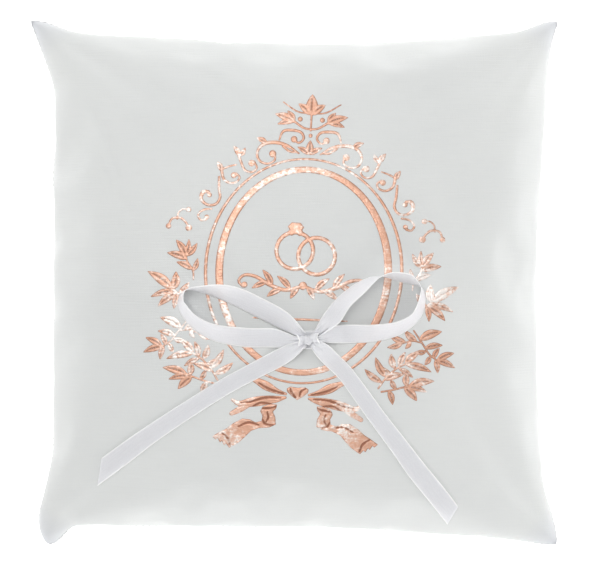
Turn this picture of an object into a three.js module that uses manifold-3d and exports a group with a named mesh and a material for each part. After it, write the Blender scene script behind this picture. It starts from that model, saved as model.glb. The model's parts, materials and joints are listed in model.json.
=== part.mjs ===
// Ring bearer cushion: a stuffed satin cushion with a foil design on its front and a ribbon tied in a bow.
// Millimetres, +Z up. The cushion lies on its back, so its front faces up, with the top of the design
// towards +Y. The seam between the two covers is level, and the origin is under the middle of the cushion,
// on the resting plane.
import * as THREE from "three";
import { TessellateModifier } from "three/addons/modifiers/TessellateModifier.js";
import { mergeVertices } from "three/addons/utils/BufferGeometryUtils.js";
import Module from "manifold-3d";

const wasm = await Module();
wasm.setup();

// ---- Driving dimensions ----
const MID_HALF = 89; // centre to the middle of a side
const CORNER_REACH = 9; // how far a corner tip stands out past the middle of a side
const FLARE_POWER = 2.6; // how late a side starts to run out to its corner tips
const FULLNESS = 0.44; // the smaller, the steeper the covers rise from the seam
const SEAM_HEIGHT = 28; // level of the seam above the resting plane
const FRONT_RISE = 32; // seam to the crown of the front cover
const BACK_DROP = 31; // seam to the crown of the back cover, before it is flattened by resting
const CLOTH = 0.5; // thickness of a cover
const SEAM_ALLOWANCE = 8; // cloth turned inwards behind the seam
const THREAD_RADIUS = 0.15;
const THREAD_INSET = 1.6; // edge of the cushion to the seam thread
const CLEAR = 0.3; // room between pieces that touch
const SEAM_GAP = 2 * (THREAD_RADIUS + CLEAR); // between the two seam allowances, where the thread runs
const OPENING = [-0.82, -0.44]; // ends of the turning opening, as places along the -Y side from -1 to 1

const RIBBON_WIDTH = 7.5;
const RIBBON_THICKNESS = 0.45;
const KNOT = [5.1, -20.3]; // middle of the knot
const HINGE_REACH = 8; // middle of the knot to the line a loop or a tail folds up on
const KNOT_HALF = [4.9, 4.2, 2.5];

const FOIL_THICKNESS = 0.15;
const FOIL_EDGE = 8; // longest straight stretch of foil over the rounded cover
const DESIGN_AT = [3.4, 4.65]; // middle of the oval
const DESIGN_TURN = -2.9; // degrees, the design is printed a little askew
const BAND_HALF = [30.6, 36.8]; // middle of the broad inner oval
const LINE_OFF = [5, 3.9]; // inner oval to the narrow outer oval, at the sides and at the top
const LINE_HALF = [BAND_HALF[0] + LINE_OFF[0], BAND_HALF[1] + LINE_OFF[1]];
const DRAWN_LINE_HALF = [35.6, 40.7]; // the outer oval that the ornaments round it are drawn for

const SIDE_STEPS = 10; // facets along each side of the cushion
const FOIL_UP = CLEAR + FOIL_THICKNESS; // front cover to the top of the foil
const RIBBON_UP = FOIL_UP + 1.5 * CLEAR + RIBBON_THICKNESS / 2; // front cover to mid-ribbon
const CENTRE_UP = CLEAR + RIBBON_THICKNESS; // front cover to the top of the ribbon under the knot
const TACK_UP = CENTRE_UP + CLEAR + THREAD_RADIUS; // front cover to the middle of the tack thread
const KNOT_UP = TACK_UP + THREAD_RADIUS + CLEAR + KNOT_HALF[2]; // front cover to the middle of the knot

const RINGS = [0.2, 0.38, 0.54, 0.68, 0.79, 0.87, 0.935, 0.975];

const rad = (deg) => (deg * Math.PI) / 180;
const mix = (a, b, t) => a + (b - a) * t;
const clamp = (x, low, high) => Math.min(high, Math.max(low, x));

// ---- Finishes ----
const finish = (color, roughness, metalness) =>
  new THREE.MeshStandardMaterial({ color, roughness, metalness });
const SATIN = finish(0xe9eae7, 0.42, 0);
const RIBBON_SATIN = finish(0xeeedf2, 0.38, 0);
const FOIL = finish(0xe6a583, 0.28, 0.9);
const THREAD = finish(0xf1f1ee, 0.7, 0);
const FIBRE = finish(0xf7f7f4, 0.95, 0);

// ---- Shape of the cushion ----

// Half size of the cushion towards a side, at a place t (-1..1) along that side.
const reach = (t) => MID_HALF + CORNER_REACH * Math.abs(t) ** FLARE_POWER;

// Plan position of the point (u, v) of the square -1..1.
const planOf = (u, v) => [u * reach(v), v * reach(u)];

// The point (u, v) of the square for a plan position.
function squareOf(x, y) {
  let u = x / MID_HALF;
  let v = y / MID_HALF;
  for (let i = 0; i < 12; i++) {
    const nextU = clamp(x / reach(v), -1, 1);
    v = clamp(y / reach(u), -1, 1);
    u = nextU;
  }
  return [u, v];
}

// Height of a cover over the seam as a share of its crown, 1 in the middle and 0 on the seam.
const dome = (u, v) => Math.max(0, (1 - u * u) * (1 - v * v)) ** FULLNESS;

// Level of the front cover's outside over a plan position.
function frontLevel(x, y) {
  const [u, v] = squareOf(x, y);
  return SEAM_HEIGHT + SEAM_GAP / 2 + FRONT_RISE * dome(u, v);
}

// Outward direction of the front cover over a plan position.
function frontNormal(x, y) {
  const h = 0.5;
  const dx = (frontLevel(x + h, y) - frontLevel(x - h, y)) / (2 * h);
  const dy = (frontLevel(x, y + h) - frontLevel(x, y - h)) / (2 * h);
  return new THREE.Vector3(-dx, -dy, 1).normalize();
}

// The square's rim in steps, denser towards the corners, anticlockwise.
function rimSteps() {
  const rim = [];
  for (let side = 0; side < 4; side++) {
    for (let i = 0; i < SIDE_STEPS; i++) {
      const t = Math.sin(rad(180 * (i / SIDE_STEPS) - 90));
      const turned = [
        [1, t],
        [-t, 1],
        [-1, -t],
        [t, -1],
      ];
      rim.push(turned[side]);
    }
  }
  return rim;
}

// ---- Making meshes ----

function geometryOf(positions, triangles) {
  const g = new THREE.BufferGeometry();
  g.setAttribute("position", new THREE.Float32BufferAttribute(positions, 3));
  g.setIndex(triangles);
  g.computeVertexNormals();
  return g;
}

function meshOf(name, geometry, material) {
  const mesh = new THREE.Mesh(geometry, material);
  mesh.name = name;
  return mesh;
}

// Closed surface through rings round the middle of the cushion, listed from above outwards and back in below.
// Each ring is [share of the half size, level function]; the first and last are drawn in to a point.
function ringSolid(rings) {
  const rim = rimSteps();
  const positions = [];
  const triangles = [];
  const at = (ring, u, v) => {
    const [x, y] = planOf(u, v);
    positions.push(x, y, ring[1](u, v));
  };
  at(rings[0], 0, 0);
  const inner = rings.slice(1, -1);
  for (const ring of inner) {
    for (const [u, v] of rim) at(ring, u * ring[0], v * ring[0]);
  }
  at(rings[rings.length - 1], 0, 0);
  const n = rim.length;
  const last = positions.length / 3 - 1;
  for (let j = 0; j < n; j++) {
    const k = (j + 1) % n;
    triangles.push(0, 1 + j, 1 + k);
    for (let i = 0; i + 1 < inner.length; i++) {
      const a = 1 + i * n;
      const b = a + n;
      triangles.push(a + j, b + j, b + k, a + j, b + k, a + k);
    }
    const c = 1 + (inner.length - 1) * n;
    triangles.push(c + j, last, c + k);
  }
  return geometryOf(positions, triangles);
}

// The same solid turned upside down about the level of the seam, and flattened where it rests.
function turnedOver(geometry) {
  const p = geometry.getAttribute("position");
  for (let i = 0; i < p.count; i++) {
    p.setZ(i, 2 * SEAM_HEIGHT - p.getZ(i));
  }
  const order = geometry.index.array;
  for (let i = 0; i < order.length; i += 3) {
    [order[i + 1], order[i + 2]] = [order[i + 2], order[i + 1]];
  }
  geometry.computeVertexNormals();
  return geometry;
}

// One cover: the outside, the seam allowance turned in along the seam, and the inside.
// rise is its crown over the seam and flat the highest it is let to stand over the seam.
function coverSolid(rise, flat) {
  const seam = SEAM_HEIGHT + SEAM_GAP / 2;
  const turned = seam + CLOTH;
  const fold = 1 - 1 / MID_HALF;
  const hem = 1 - SEAM_ALLOWANCE / MID_HALF;
  const outside = (u, v) => seam + Math.min(rise * dome(u, v), flat);
  const inside = (u, v) => {
    const full = turned + (rise - 2 * CLOTH) * dome(u / fold, v / fold);
    return Math.min(full, seam + flat - CLOTH);
  };
  return ringSolid([
    [0, outside],
    ...RINGS.map((share) => [share, outside]),
    [1, () => seam],
    [hem, () => seam],
    [hem, () => turned],
    [fold, () => turned],
    ...RINGS.map((share) => [share, inside]).reverse(),
    [0, inside],
  ]);
}

function frontCover() {
  return meshOf("front_cover", coverSolid(FRONT_RISE, FRONT_RISE), SATIN);
}

function backCover() {
  const flat = SEAM_HEIGHT - SEAM_GAP / 2;
  return meshOf("back_cover", turnedOver(coverSolid(BACK_DROP, flat)), SATIN);
}

// The filling: a soft body that keeps clear of the covers and of their seam allowances.
function fibreFill() {
  const clear = 0.5;
  const seam = SEAM_GAP / 2 + CLOTH + clear;
  const edge = 0.95;
  const neck = 1 - (SEAM_ALLOWANCE + 1.2) / MID_HALF;
  const flat = SEAM_HEIGHT - CLOTH - clear;
  const over = (rise, sign, most) => (u, v) =>
    SEAM_HEIGHT + sign * Math.min(seam + rise * dome(u / edge, v / edge), most);
  const front = over(FRONT_RISE - 3, 1, FRONT_RISE);
  const back = over(BACK_DROP - 3, -1, flat);
  const shares = [0.25, 0.5, 0.68, 0.8, 0.88];
  return meshOf(
    "fibre_fill",
    ringSolid([
      [0, front],
      ...shares.map((share) => [share, front]),
      [edge, front],
      [neck, () => SEAM_HEIGHT + seam],
      [neck, () => SEAM_HEIGHT - seam],
      [edge, back],
      ...shares.map((share) => [share, back]).reverse(),
      [0, back],
    ]),
    FIBRE,
  );
}

// A round thread through a list of points, closed off at both ends.
function threadSolid(points, radius, sides = 5) {
  const positions = [];
  const triangles = [];
  const up = new THREE.Vector3(0, 0, 1);
  const n = points.length;
  points.forEach((p, i) => {
    const along = points[Math.min(i + 1, n - 1)].clone().sub(points[Math.max(i - 1, 0)]).normalize();
    const side = new THREE.Vector3().crossVectors(along, up).normalize();
    const top = new THREE.Vector3().crossVectors(side, along);
    for (let k = 0; k < sides; k++) {
      const a = rad((360 * k) / sides);
      const q = p.clone().addScaledVector(side, radius * Math.cos(a));
      q.addScaledVector(top, radius * Math.sin(a));
      positions.push(q.x, q.y, q.z);
    }
  });
  for (let i = 0; i + 1 < n; i++) {
    for (let k = 0; k < sides; k++) {
      const a = i * sides + k;
      const b = i * sides + ((k + 1) % sides);
      triangles.push(a, a + sides, b, b, a + sides, b + sides);
    }
  }
  for (let k = 1; k + 1 < sides; k++) {
    const e = (n - 1) * sides;
    triangles.push(0, k, k + 1, e, e + k + 1, e + k);
  }
  return geometryOf(positions, triangles);
}

// The machine seam, which runs all the way round and stops at each end of the turning opening.
function perimeterSeamThread() {
  const inset = 1 - THREAD_INSET / MID_HALF;
  const rim = rimSteps();
  const start = rim.findIndex(([u, v]) => v === -1 && u > OPENING[1] && u < 1);
  const points = [];
  const place = (u, v) => {
    const [x, y] = planOf(u * inset, v * inset);
    points.push(new THREE.Vector3(x, y, SEAM_HEIGHT));
  };
  place(OPENING[1], -1);
  for (let i = 0; i < rim.length; i++) {
    const [u, v] = rim[(start + i) % rim.length];
    if (v === -1 && u < OPENING[1] && u > OPENING[0]) continue;
    if (i > rim.length / 2 && v === -1 && u > OPENING[1]) continue;
    place(u, v);
  }
  place(OPENING[0], -1);
  return meshOf("perimeter_seam_thread", threadSolid(points, THREAD_RADIUS), THREAD);
}

// The slip stitch that shuts the turning opening, a ladder from one cover's fold to the other's.
function closingSeamThread() {
  const stitches = 9;
  const gap = 0.02;
  const points = [];
  for (let i = 0; i <= stitches * 4; i++) {
    const t = i / (stitches * 4);
    const u = mix(OPENING[0] + gap, OPENING[1] - gap, t);
    const inset = 1 - (THREAD_INSET + 0.5 * (Math.sin(t * stitches * 2 * Math.PI) - 1)) / MID_HALF;
    const [x, y] = planOf(u, -inset);
    points.push(new THREE.Vector3(x, y, SEAM_HEIGHT));
  }
  return meshOf("closing_seam_thread", threadSolid(points, THREAD_RADIUS, 4), THREAD);
}

// ---- Ribbon ----

// Directions in which the loops and tails leave the knot, in degrees from +X.
const ROOT_ANGLE = { loopLeft: 163, loopRight: 28, tailLeft: 216, tailRight: 312 };

// Plan position beside the knot, on the line where a loop or a tail starts.
const rootAt = (angle) => [
  KNOT[0] + HINGE_REACH * Math.cos(rad(angle)),
  KNOT[1] + HINGE_REACH * Math.sin(rad(angle)),
];

// A flat band through stations. Each station is a middle, a half width vector and a half thickness vector.
function bandSolid(stations) {
  const positions = [];
  const triangles = [];
  for (const { at, width, thick } of stations) {
    for (const [a, b] of [
      [-1, -1],
      [1, -1],
      [1, 1],
      [-1, 1],
    ]) {
      const q = at.clone().addScaledVector(width, a).addScaledVector(thick, b);
      positions.push(q.x, q.y, q.z);
    }
  }
  const n = stations.length;
  for (let i = 0; i + 1 < n; i++) {
    for (let k = 0; k < 4; k++) {
      const a = 4 * i + k;
      const b = 4 * i + ((k + 1) % 4);
      triangles.push(a, b, b + 4, a, b + 4, a + 4);
    }
  }
  const e = 4 * (n - 1);
  triangles.push(0, 2, 1, 0, 3, 2, e, e + 1, e + 2, e, e + 2, e + 3);
  return geometryOf(positions, triangles);
}

// Facing outwards whichever way its stations turn.
function facedOut(geometry) {
  const p = geometry.getAttribute("position");
  const order = geometry.index.array;
  const corner = (i) => new THREE.Vector3().fromBufferAttribute(p, order[i]);
  let volume = 0;
  for (let i = 0; i < order.length; i += 3) {
    volume += corner(i).dot(corner(i + 1).cross(corner(i + 2)));
  }
  if (volume < 0) {
    for (let i = 0; i < order.length; i += 3) {
      [order[i + 1], order[i + 2]] = [order[i + 2], order[i + 1]];
    }
  }
  geometry.computeVertexNormals();
  return geometry;
}

// Points at even steps along a smooth curve through a few points of any number of coordinates.
function smooth(points, steps) {
  const curve = new THREE.CatmullRomCurve3(
    points.map(([x, y, z]) => new THREE.Vector3(x, y, z ?? 0)),
    false,
    "centripetal",
  );
  return curve.getSpacedPoints(steps);
}

// A ribbon loop standing on one edge. Its stations give the plan position of the resting edge and the lean:
// 0 degrees is upright, and the more it leans the flatter it lies, inwards or (below 0) outwards.
function ribbonLoop(name, stations, inward) {
  const steps = 30;
  const path = smooth(stations, steps);
  const bands = path.map((p, i) => {
    const ahead = path[Math.min(i + 1, steps)];
    const behind = path[Math.max(i - 1, 0)];
    const along = new THREE.Vector3(ahead.x - behind.x, ahead.y - behind.y, 0).normalize();
    const side = new THREE.Vector3(-along.y * inward, along.x * inward, 0);
    const fromEnd = Math.min(i, steps - i) / steps;
    const half = (RIBBON_WIDTH / 2) * clamp(0.4 + 4.5 * fromEnd, 0.4, 1);
    const lean = rad(p.z);
    const width = new THREE.Vector3(0, 0, Math.cos(lean)).addScaledVector(side, Math.sin(lean));
    const thick = new THREE.Vector3().crossVectors(width, along).setLength(RIBBON_THICKNESS / 2);
    const at = new THREE.Vector3(p.x, p.y, frontLevel(p.x, p.y) + RIBBON_UP);
    at.addScaledVector(width, half);
    return { at, width: width.multiplyScalar(half), thick };
  });
  return meshOf(name, facedOut(bandSolid(bands)), RIBBON_SATIN);
}

function bowLoopLeft() {
  const stations = [
    [...rootAt(ROOT_ANGLE.loopLeft + 24), 38],
    [-8, -23, 48],
    [-19, -22.8, 54],
    [-31, -20, 50],
    [-39.2, -13.8, 34],
    [-42.4, -6.8, 20],
    [-39.5, -2.2, 10],
    [-33, -3.4, -16],
    [-23, -7.4, -48],
    [-12, -13, -56],
    [...rootAt(ROOT_ANGLE.loopLeft - 12), -40],
  ];
  return ribbonLoop("bow_loop_left", stations, -1);
}

function bowLoopRight() {
  const stations = [
    [...rootAt(ROOT_ANGLE.loopRight - 31), 38],
    [21.5, -21.5, 48],
    [30, -20.8, 50],
    [39, -18.2, 42],
    [45.6, -13, 30],
    [47.8, -6.4, 24],
    [44.6, 1.4, 22],
    [37, 4.4, 26],
    [26, 1.6, 38],
    [16, -4.6, 44],
    [...rootAt(ROOT_ANGLE.loopRight + 29), 38],
  ];
  return ribbonLoop("bow_loop_right", stations, 1);
}

// A ribbon tail lying on the front cover. skew is how much farther its -side edge runs than its +side edge.
function ribbonTail(name, stations, skew) {
  const steps = 20;
  const path = smooth(stations, steps);
  const bands = path.map((p, i) => {
    const ahead = path[Math.min(i + 1, steps)];
    const behind = path[Math.max(i - 1, 0)];
    const out = frontNormal(p.x, p.y);
    const at = new THREE.Vector3(p.x, p.y, frontLevel(p.x, p.y)).addScaledVector(out, RIBBON_UP);
    const along = new THREE.Vector3().subVectors(ahead, behind).setZ(0).normalize();
    const width = new THREE.Vector3().crossVectors(out, along).normalize();
    const half = (RIBBON_WIDTH / 2) * clamp(0.42 + 3 * (i / steps), 0.42, 1);
    const cut = (skew / 2) * clamp((i / steps - 0.75) / 0.25, 0, 1);
    width.multiplyScalar(half).addScaledVector(along, -cut);
    return { at, width, thick: out.multiplyScalar(RIBBON_THICKNESS / 2) };
  });
  return meshOf(name, facedOut(bandSolid(bands)), RIBBON_SATIN);
}

function ribbonTailLeft() {
  const stations = [
    rootAt(ROOT_ANGLE.tailLeft),
    [-8, -29.6],
    [-17, -35.4],
    [-34, -45.6],
    [-55, -58],
    [-74, -71.4],
  ];
  return ribbonTail("ribbon_tail_left", stations, 7);
}

function ribbonTailRight() {
  const stations = [
    rootAt(ROOT_ANGLE.tailRight),
    [16.4, -32],
    [26.5, -45.4],
    [36, -57],
    [45, -68],
    [57.4, -83.6],
  ];
  return ribbonTail("ribbon_tail_right", stations, 3.4);
}

// The stretch of ribbon that lies on the cushion under the knot.
function ribbonCentre() {
  const half = 0.8 * HINGE_REACH;
  const bands = [];
  for (let i = 0; i <= 6; i++) {
    const x = KNOT[0] + mix(-half, half, i / 6);
    const y = KNOT[1];
    const out = frontNormal(x, y);
    const at = new THREE.Vector3(x, y, frontLevel(x, y));
    at.addScaledVector(out, CENTRE_UP - RIBBON_THICKNESS / 2);
    const width = new THREE.Vector3().crossVectors(out, new THREE.Vector3(1, 0, 0)).setLength(3.6);
    bands.push({ at, width, thick: out.multiplyScalar(RIBBON_THICKNESS / 2) });
  }
  return meshOf("ribbon_centre", facedOut(bandSolid(bands)), RIBBON_SATIN);
}

// The bar of thread that tacks the ribbon down, under the knot.
function ribbonTackThread() {
  const level = frontLevel(...KNOT) + TACK_UP;
  const points = [];
  for (let i = 0; i <= 16; i++) {
    const a = i / 16;
    const x = KNOT[0] + mix(-1.6, 1.6, a);
    points.push(new THREE.Vector3(x, KNOT[1] + 0.9 * Math.sin(a * 8 * Math.PI), level));
  }
  return meshOf("ribbon_tack_thread", threadSolid(points, THREAD_RADIUS), THREAD);
}

// ---- Joining meshes ----

function solidOf(geometry) {
  const g = geometry.index ? geometry.toNonIndexed() : geometry.clone();
  g.deleteAttribute("normal");
  g.deleteAttribute("uv");
  const merged = mergeVertices(g, 1e-3);
  const mesh = new wasm.Mesh({
    numProp: 3,
    vertProperties: merged.getAttribute("position").array,
    triVerts: new Uint32Array(merged.index.array),
  });
  return new wasm.Manifold(mesh);
}

function geometryFrom(solid) {
  const { vertProperties, triVerts, numProp } = solid.getMesh();
  const positions = [];
  for (let i = 0; i < vertProperties.length; i += numProp) {
    positions.push(vertProperties[i], vertProperties[i + 1], vertProperties[i + 2]);
  }
  return geometryOf(positions, [...triVerts]);
}

const joined = (solids) => solids.reduce((all, next) => all.add(next));

// The knot: a rounded wrap with the gathered roots of the loops and tails coming out of it.
function bowKnot() {
  const level = frontLevel(...KNOT) + KNOT_UP;
  const rootHalf = (HINGE_REACH - 2 * CLEAR) / 2;
  const ball = (half, across, along) => {
    const g = new THREE.SphereGeometry(1, across, along);
    g.rotateX(Math.PI / 2);
    g.scale(...half);
    return g;
  };
  const wrap = ball(KNOT_HALF, 12, 8);
  wrap.rotateZ(rad(-20));
  wrap.translate(KNOT[0], KNOT[1], level);
  const parts = [solidOf(wrap)];
  for (const angle of Object.values(ROOT_ANGLE)) {
    const root = ball([rootHalf, 2.6, 1.2], 8, 5);
    root.translate(rootHalf, 0, 0);
    root.rotateZ(rad(angle));
    root.translate(KNOT[0], KNOT[1], level - 0.9);
    parts.push(solidOf(root));
  }
  return meshOf("bow_knot", geometryFrom(joined(parts)), RIBBON_SATIN);
}

// ---- Foil design ----
// Drawn flat about the middle of the oval with y up; side is 1 for the right half and -1 for its mirror.

const flip = (points, side) => points.map(([x, y, ...rest]) => [x * side, y, ...rest]);

// A flat outline as a thin slab.
function slab(points) {
  const shape = new THREE.Shape(points.map(([x, y]) => new THREE.Vector2(x, y)));
  return solidOf(
    new THREE.ExtrudeGeometry(shape, { depth: FOIL_THICKNESS, bevelEnabled: false }),
  );
}

// A stroke through points [x, y, width], smoothed into the given number of steps.
function stroke(points, steps) {
  const path = smooth(points, steps);
  const left = [];
  const right = [];
  path.forEach((p, i) => {
    const ahead = path[Math.min(i + 1, steps)];
    const behind = path[Math.max(i - 1, 0)];
    const d = new THREE.Vector2(ahead.x - behind.x, ahead.y - behind.y).setLength(p.z / 2);
    left.push([p.x - d.y, p.y + d.x]);
    right.push([p.x + d.y, p.y - d.x]);
  });
  return slab([...left, ...right.reverse()]);
}

// A leaf from its base to its tip.
function leaf([bx, by, tx, ty, width]) {
  const dx = tx - bx;
  const dy = ty - by;
  const length = Math.hypot(dx, dy);
  const at = (share, out) => [
    bx + dx * share - (dy / length) * out * width,
    by + dy * share + (dx / length) * out * width,
  ];
  return slab([
    at(-0.04, 0),
    at(0.22, -0.4),
    at(0.5, -0.5),
    at(0.78, -0.3),
    at(1, 0),
    at(0.78, 0.3),
    at(0.5, 0.5),
    at(0.22, 0.4),
  ]);
}

// A round spot.
function spot(x, y, radius) {
  const points = [];
  for (let i = 0; i < 8; i++) {
    points.push([x + radius * Math.cos(rad(45 * i)), y + radius * Math.sin(rad(45 * i))]);
  }
  return slab(points);
}

// An oval ring of the given widths at its sides and at its top and bottom.
function ovalRing([a, b], [sideWidth, topWidth], steps) {
  const outer = [];
  const inner = [];
  for (let i = 0; i < steps; i++) {
    const c = Math.cos((2 * Math.PI * i) / steps);
    const s = Math.sin((2 * Math.PI * i) / steps);
    outer.push(new THREE.Vector2((a + sideWidth / 2) * c, (b + topWidth / 2) * s));
    inner.push(new THREE.Vector2((a - sideWidth / 2) * c, (b - topWidth / 2) * s));
  }
  const shape = new THREE.Shape(outer);
  shape.holes.push(new THREE.Path(inner));
  return solidOf(
    new THREE.ExtrudeGeometry(shape, { depth: FOIL_THICKNESS, bevelEnabled: false }),
  );
}

// Flat pieces joined into one, its long edges split, then laid on the front cover.
// What is drawn round the outer oval is spaced to fit it, and an oval itself has fit [1, 1].
const shortEdges = new TessellateModifier(FOIL_EDGE, 6);
const FITTED = [LINE_HALF[0] / DRAWN_LINE_HALF[0], LINE_HALF[1] / DRAWN_LINE_HALF[1]];
function foil(name, solids, fit = FITTED) {
  const turn = rad(DESIGN_TURN);
  const geometry = shortEdges.modify(geometryFrom(joined(solids)));
  const p = geometry.getAttribute("position");
  for (let i = 0; i < p.count; i++) {
    const across = p.getX(i) * fit[0];
    const along = p.getY(i) * fit[1];
    const x = DESIGN_AT[0] + across * Math.cos(turn) - along * Math.sin(turn);
    const y = DESIGN_AT[1] + across * Math.sin(turn) + along * Math.cos(turn);
    p.setXYZ(i, x, y, p.getZ(i) + frontLevel(x, y) + CLEAR);
  }
  geometry.computeVertexNormals();
  return meshOf(name, geometry, FOIL);
}

const label = (side) => (side > 0 ? "right" : "left");
const mirroredStroke = (side, points, steps) => stroke(flip(points, side), steps);
const mirroredLeaf = (side, [bx, by, tx, ty, w]) => leaf([bx * side, by, tx * side, ty, w]);
const mirroredSpot = (side, x, y, r) => spot(x * side, y, r);

function innerBand() {
  return foil("foil_inner_band", [ovalRing(BAND_HALF, [2.8, 2.3], 40)], [1, 1]);
}

function outerLine() {
  return foil("foil_outer_line", [ovalRing(LINE_HALF, [1.2, 0.8], 40)], [1, 1]);
}

// The three-petalled flower on top, with its stem and curling side shoots.
function crestFlower() {
  const pieces = [
    leaf([0, 57.2, 0, 64, 2.8]),
    stroke(
      [
        [0, 58.5, 0.9],
        [0, 54.5, 0.7],
        [0, 51.2, 0.7],
      ],
      2,
    ),
  ];
  for (const side of [1, -1]) {
    pieces.push(mirroredLeaf(side, [0.1, 57.4, 4.4, 60.2, 2.2]));
    const feeler = [
      [0.1, 57.4, 0.6],
      [5, 57.9, 0.6],
      [10.5, 61.2, 0.5],
    ];
    pieces.push(mirroredStroke(side, feeler, 5));
    const shoot = [
      [0, 51.6, 0.8],
      [2.5, 52, 0.8],
      [6.2, 54.3, 0.9],
    ];
    pieces.push(mirroredStroke(side, shoot, 4));
    pieces.push(mirroredLeaf(side, [6, 54.3, 12.9, 56.3, 1.9]));
    pieces.push(mirroredLeaf(side, [6, 54.3, 8.4, 57.6, 1.4]));
    pieces.push(mirroredLeaf(side, [6, 54.3, 11.7, 53.3, 1.4]));
  }
  return foil("foil_crest_flower", pieces);
}

function crestBead(side) {
  return foil("foil_crest_bead_" + label(side), [mirroredSpot(side, 4.05, 55.2, 0.9)]);
}

function crestDot() {
  return foil("foil_crest_dot", [spot(0, 49.3, 0.75)]);
}

function crestScroll(side) {
  const curl = [
    [11.3, 47.2, 0.6],
    [10, 50.4, 1],
    [6.9, 51, 1.1],
    [3.4, 50.3, 1],
    [2.4, 48.2, 0.9],
    [4, 46.5, 0.8],
    [5.8, 47.2, 0.8],
  ];
  return foil("foil_crest_scroll_" + label(side), [
    mirroredStroke(side, curl, 12),
    mirroredSpot(side, 5.9, 47.7, 1.2),
  ]);
}

function crestLily() {
  return foil("foil_crest_lily", [
    leaf([0, 42.5, 0, 46.9, 1.5]),
    leaf([0.1, 42.5, 4.2, 44.4, 1.4]),
    leaf([-0.1, 42.5, -4.2, 44.4, 1.4]),
  ]);
}

// The vine beside the oval, from the top outwards and down: one scroll and one trumpet flower to a piece.
function vine(side, number) {
  const pieces = [];
  const add = (points, steps) => pieces.push(mirroredStroke(side, points, steps));
  const blob = (x, y, r) => pieces.push(mirroredSpot(side, x, y, r));
  const petal = (...numbers) => pieces.push(mirroredLeaf(side, numbers));
  if (number === 1) {
    add(
      [
        [3.9, 42.6, 0.6],
        [8.4, 45.3, 1.2],
        [13.3, 46.2, 1.4],
        [17.4, 45, 1.2],
        [19.1, 42, 1],
        [17.9, 39.1, 0.9],
        [15, 38.3, 0.8],
        [12.5, 39.8, 0.8],
        [12.6, 41.6, 0.8],
      ],
      16,
    );
    blob(13.4, 42, 1.3);
    petal(15.6, 45.7, 19.4, 47.4, 2);
    add(
      [
        [4.6, 42.9, 0.5],
        [7.2, 43.2, 0.9],
        [9.8, 44.9, 0.8],
      ],
      3,
    );
  }
  if (number === 2) {
    add(
      [
        [26.1, 42, 1.2],
        [24.9, 38.8, 1],
        [23, 35.4, 0.9],
        [20.4, 35, 0.8],
        [18.9, 36.6, 0.8],
        [20, 38.8, 0.8],
      ],
      11,
    );
    blob(20.9, 38.2, 1.2);
    petal(25.3, 40.5, 27.6, 44, 2);
    petal(25.3, 40.5, 23.6, 43.6, 1.6);
  }
  if (number === 3) {
    add(
      [
        [31.7, 35.6, 1.2],
        [30.7, 32, 1],
        [28.4, 30.6, 0.9],
        [26, 31.1, 0.8],
        [25, 32.8, 0.8],
        [26.3, 34.2, 0.8],
      ],
      10,
    );
    blob(27.1, 33.5, 1.1);
    petal(31.6, 34.8, 33.3, 38, 2);
    add(
      [
        [31.7, 35.4, 0.8],
        [29, 36.6, 0.7],
        [26.4, 37.4, 0.5],
      ],
      3,
    );
  }
  if (number === 4) {
    add(
      [
        [32.4, 32.6, 0.9],
        [32.2, 28.4, 1],
        [31.7, 25, 1],
        [33.2, 22.6, 1],
        [36.2, 22.3, 1],
        [38.6, 24.4, 1.3],
        [37.8, 26.9, 1.5],
        [35.9, 27, 1],
      ],
      15,
    );
    blob(35.6, 25.9, 0.9);
  }
  if (number === 5) {
    add(
      [
        [34.6, 20.9, 0.8],
        [37.6, 20.3, 0.8],
        [39.3, 18.4, 0.8],
        [38.2, 16.6, 0.8],
        [36.5, 16.9, 0.9],
      ],
      9,
    );
    blob(36.1, 17.8, 0.9);
  }
  return foil("foil_scroll_" + label(side) + "_" + number, pieces);
}

function tendril(side) {
  const low = [
    [50, 14, 0.8],
    [48.6, 16.7, 0.8],
    [45.4, 16.9, 0.9],
    [43.4, 15.2, 0.8],
    [42.6, 13.6, 0.8],
  ];
  const high = [
    [46.9, 16.6, 0.6],
    [46.5, 19, 0.6],
    [44.9, 20.3, 0.6],
    [43.4, 20.2, 0.6],
  ];
  return foil("foil_tendril_" + label(side), [
    mirroredStroke(side, low, 9),
    mirroredStroke(side, high, 5),
    mirroredSpot(side, 49.9, 13.9, 1),
    mirroredSpot(side, 42.5, 13.6, 1.2),
    mirroredSpot(side, 42.9, 20.2, 1),
  ]);
}

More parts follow.
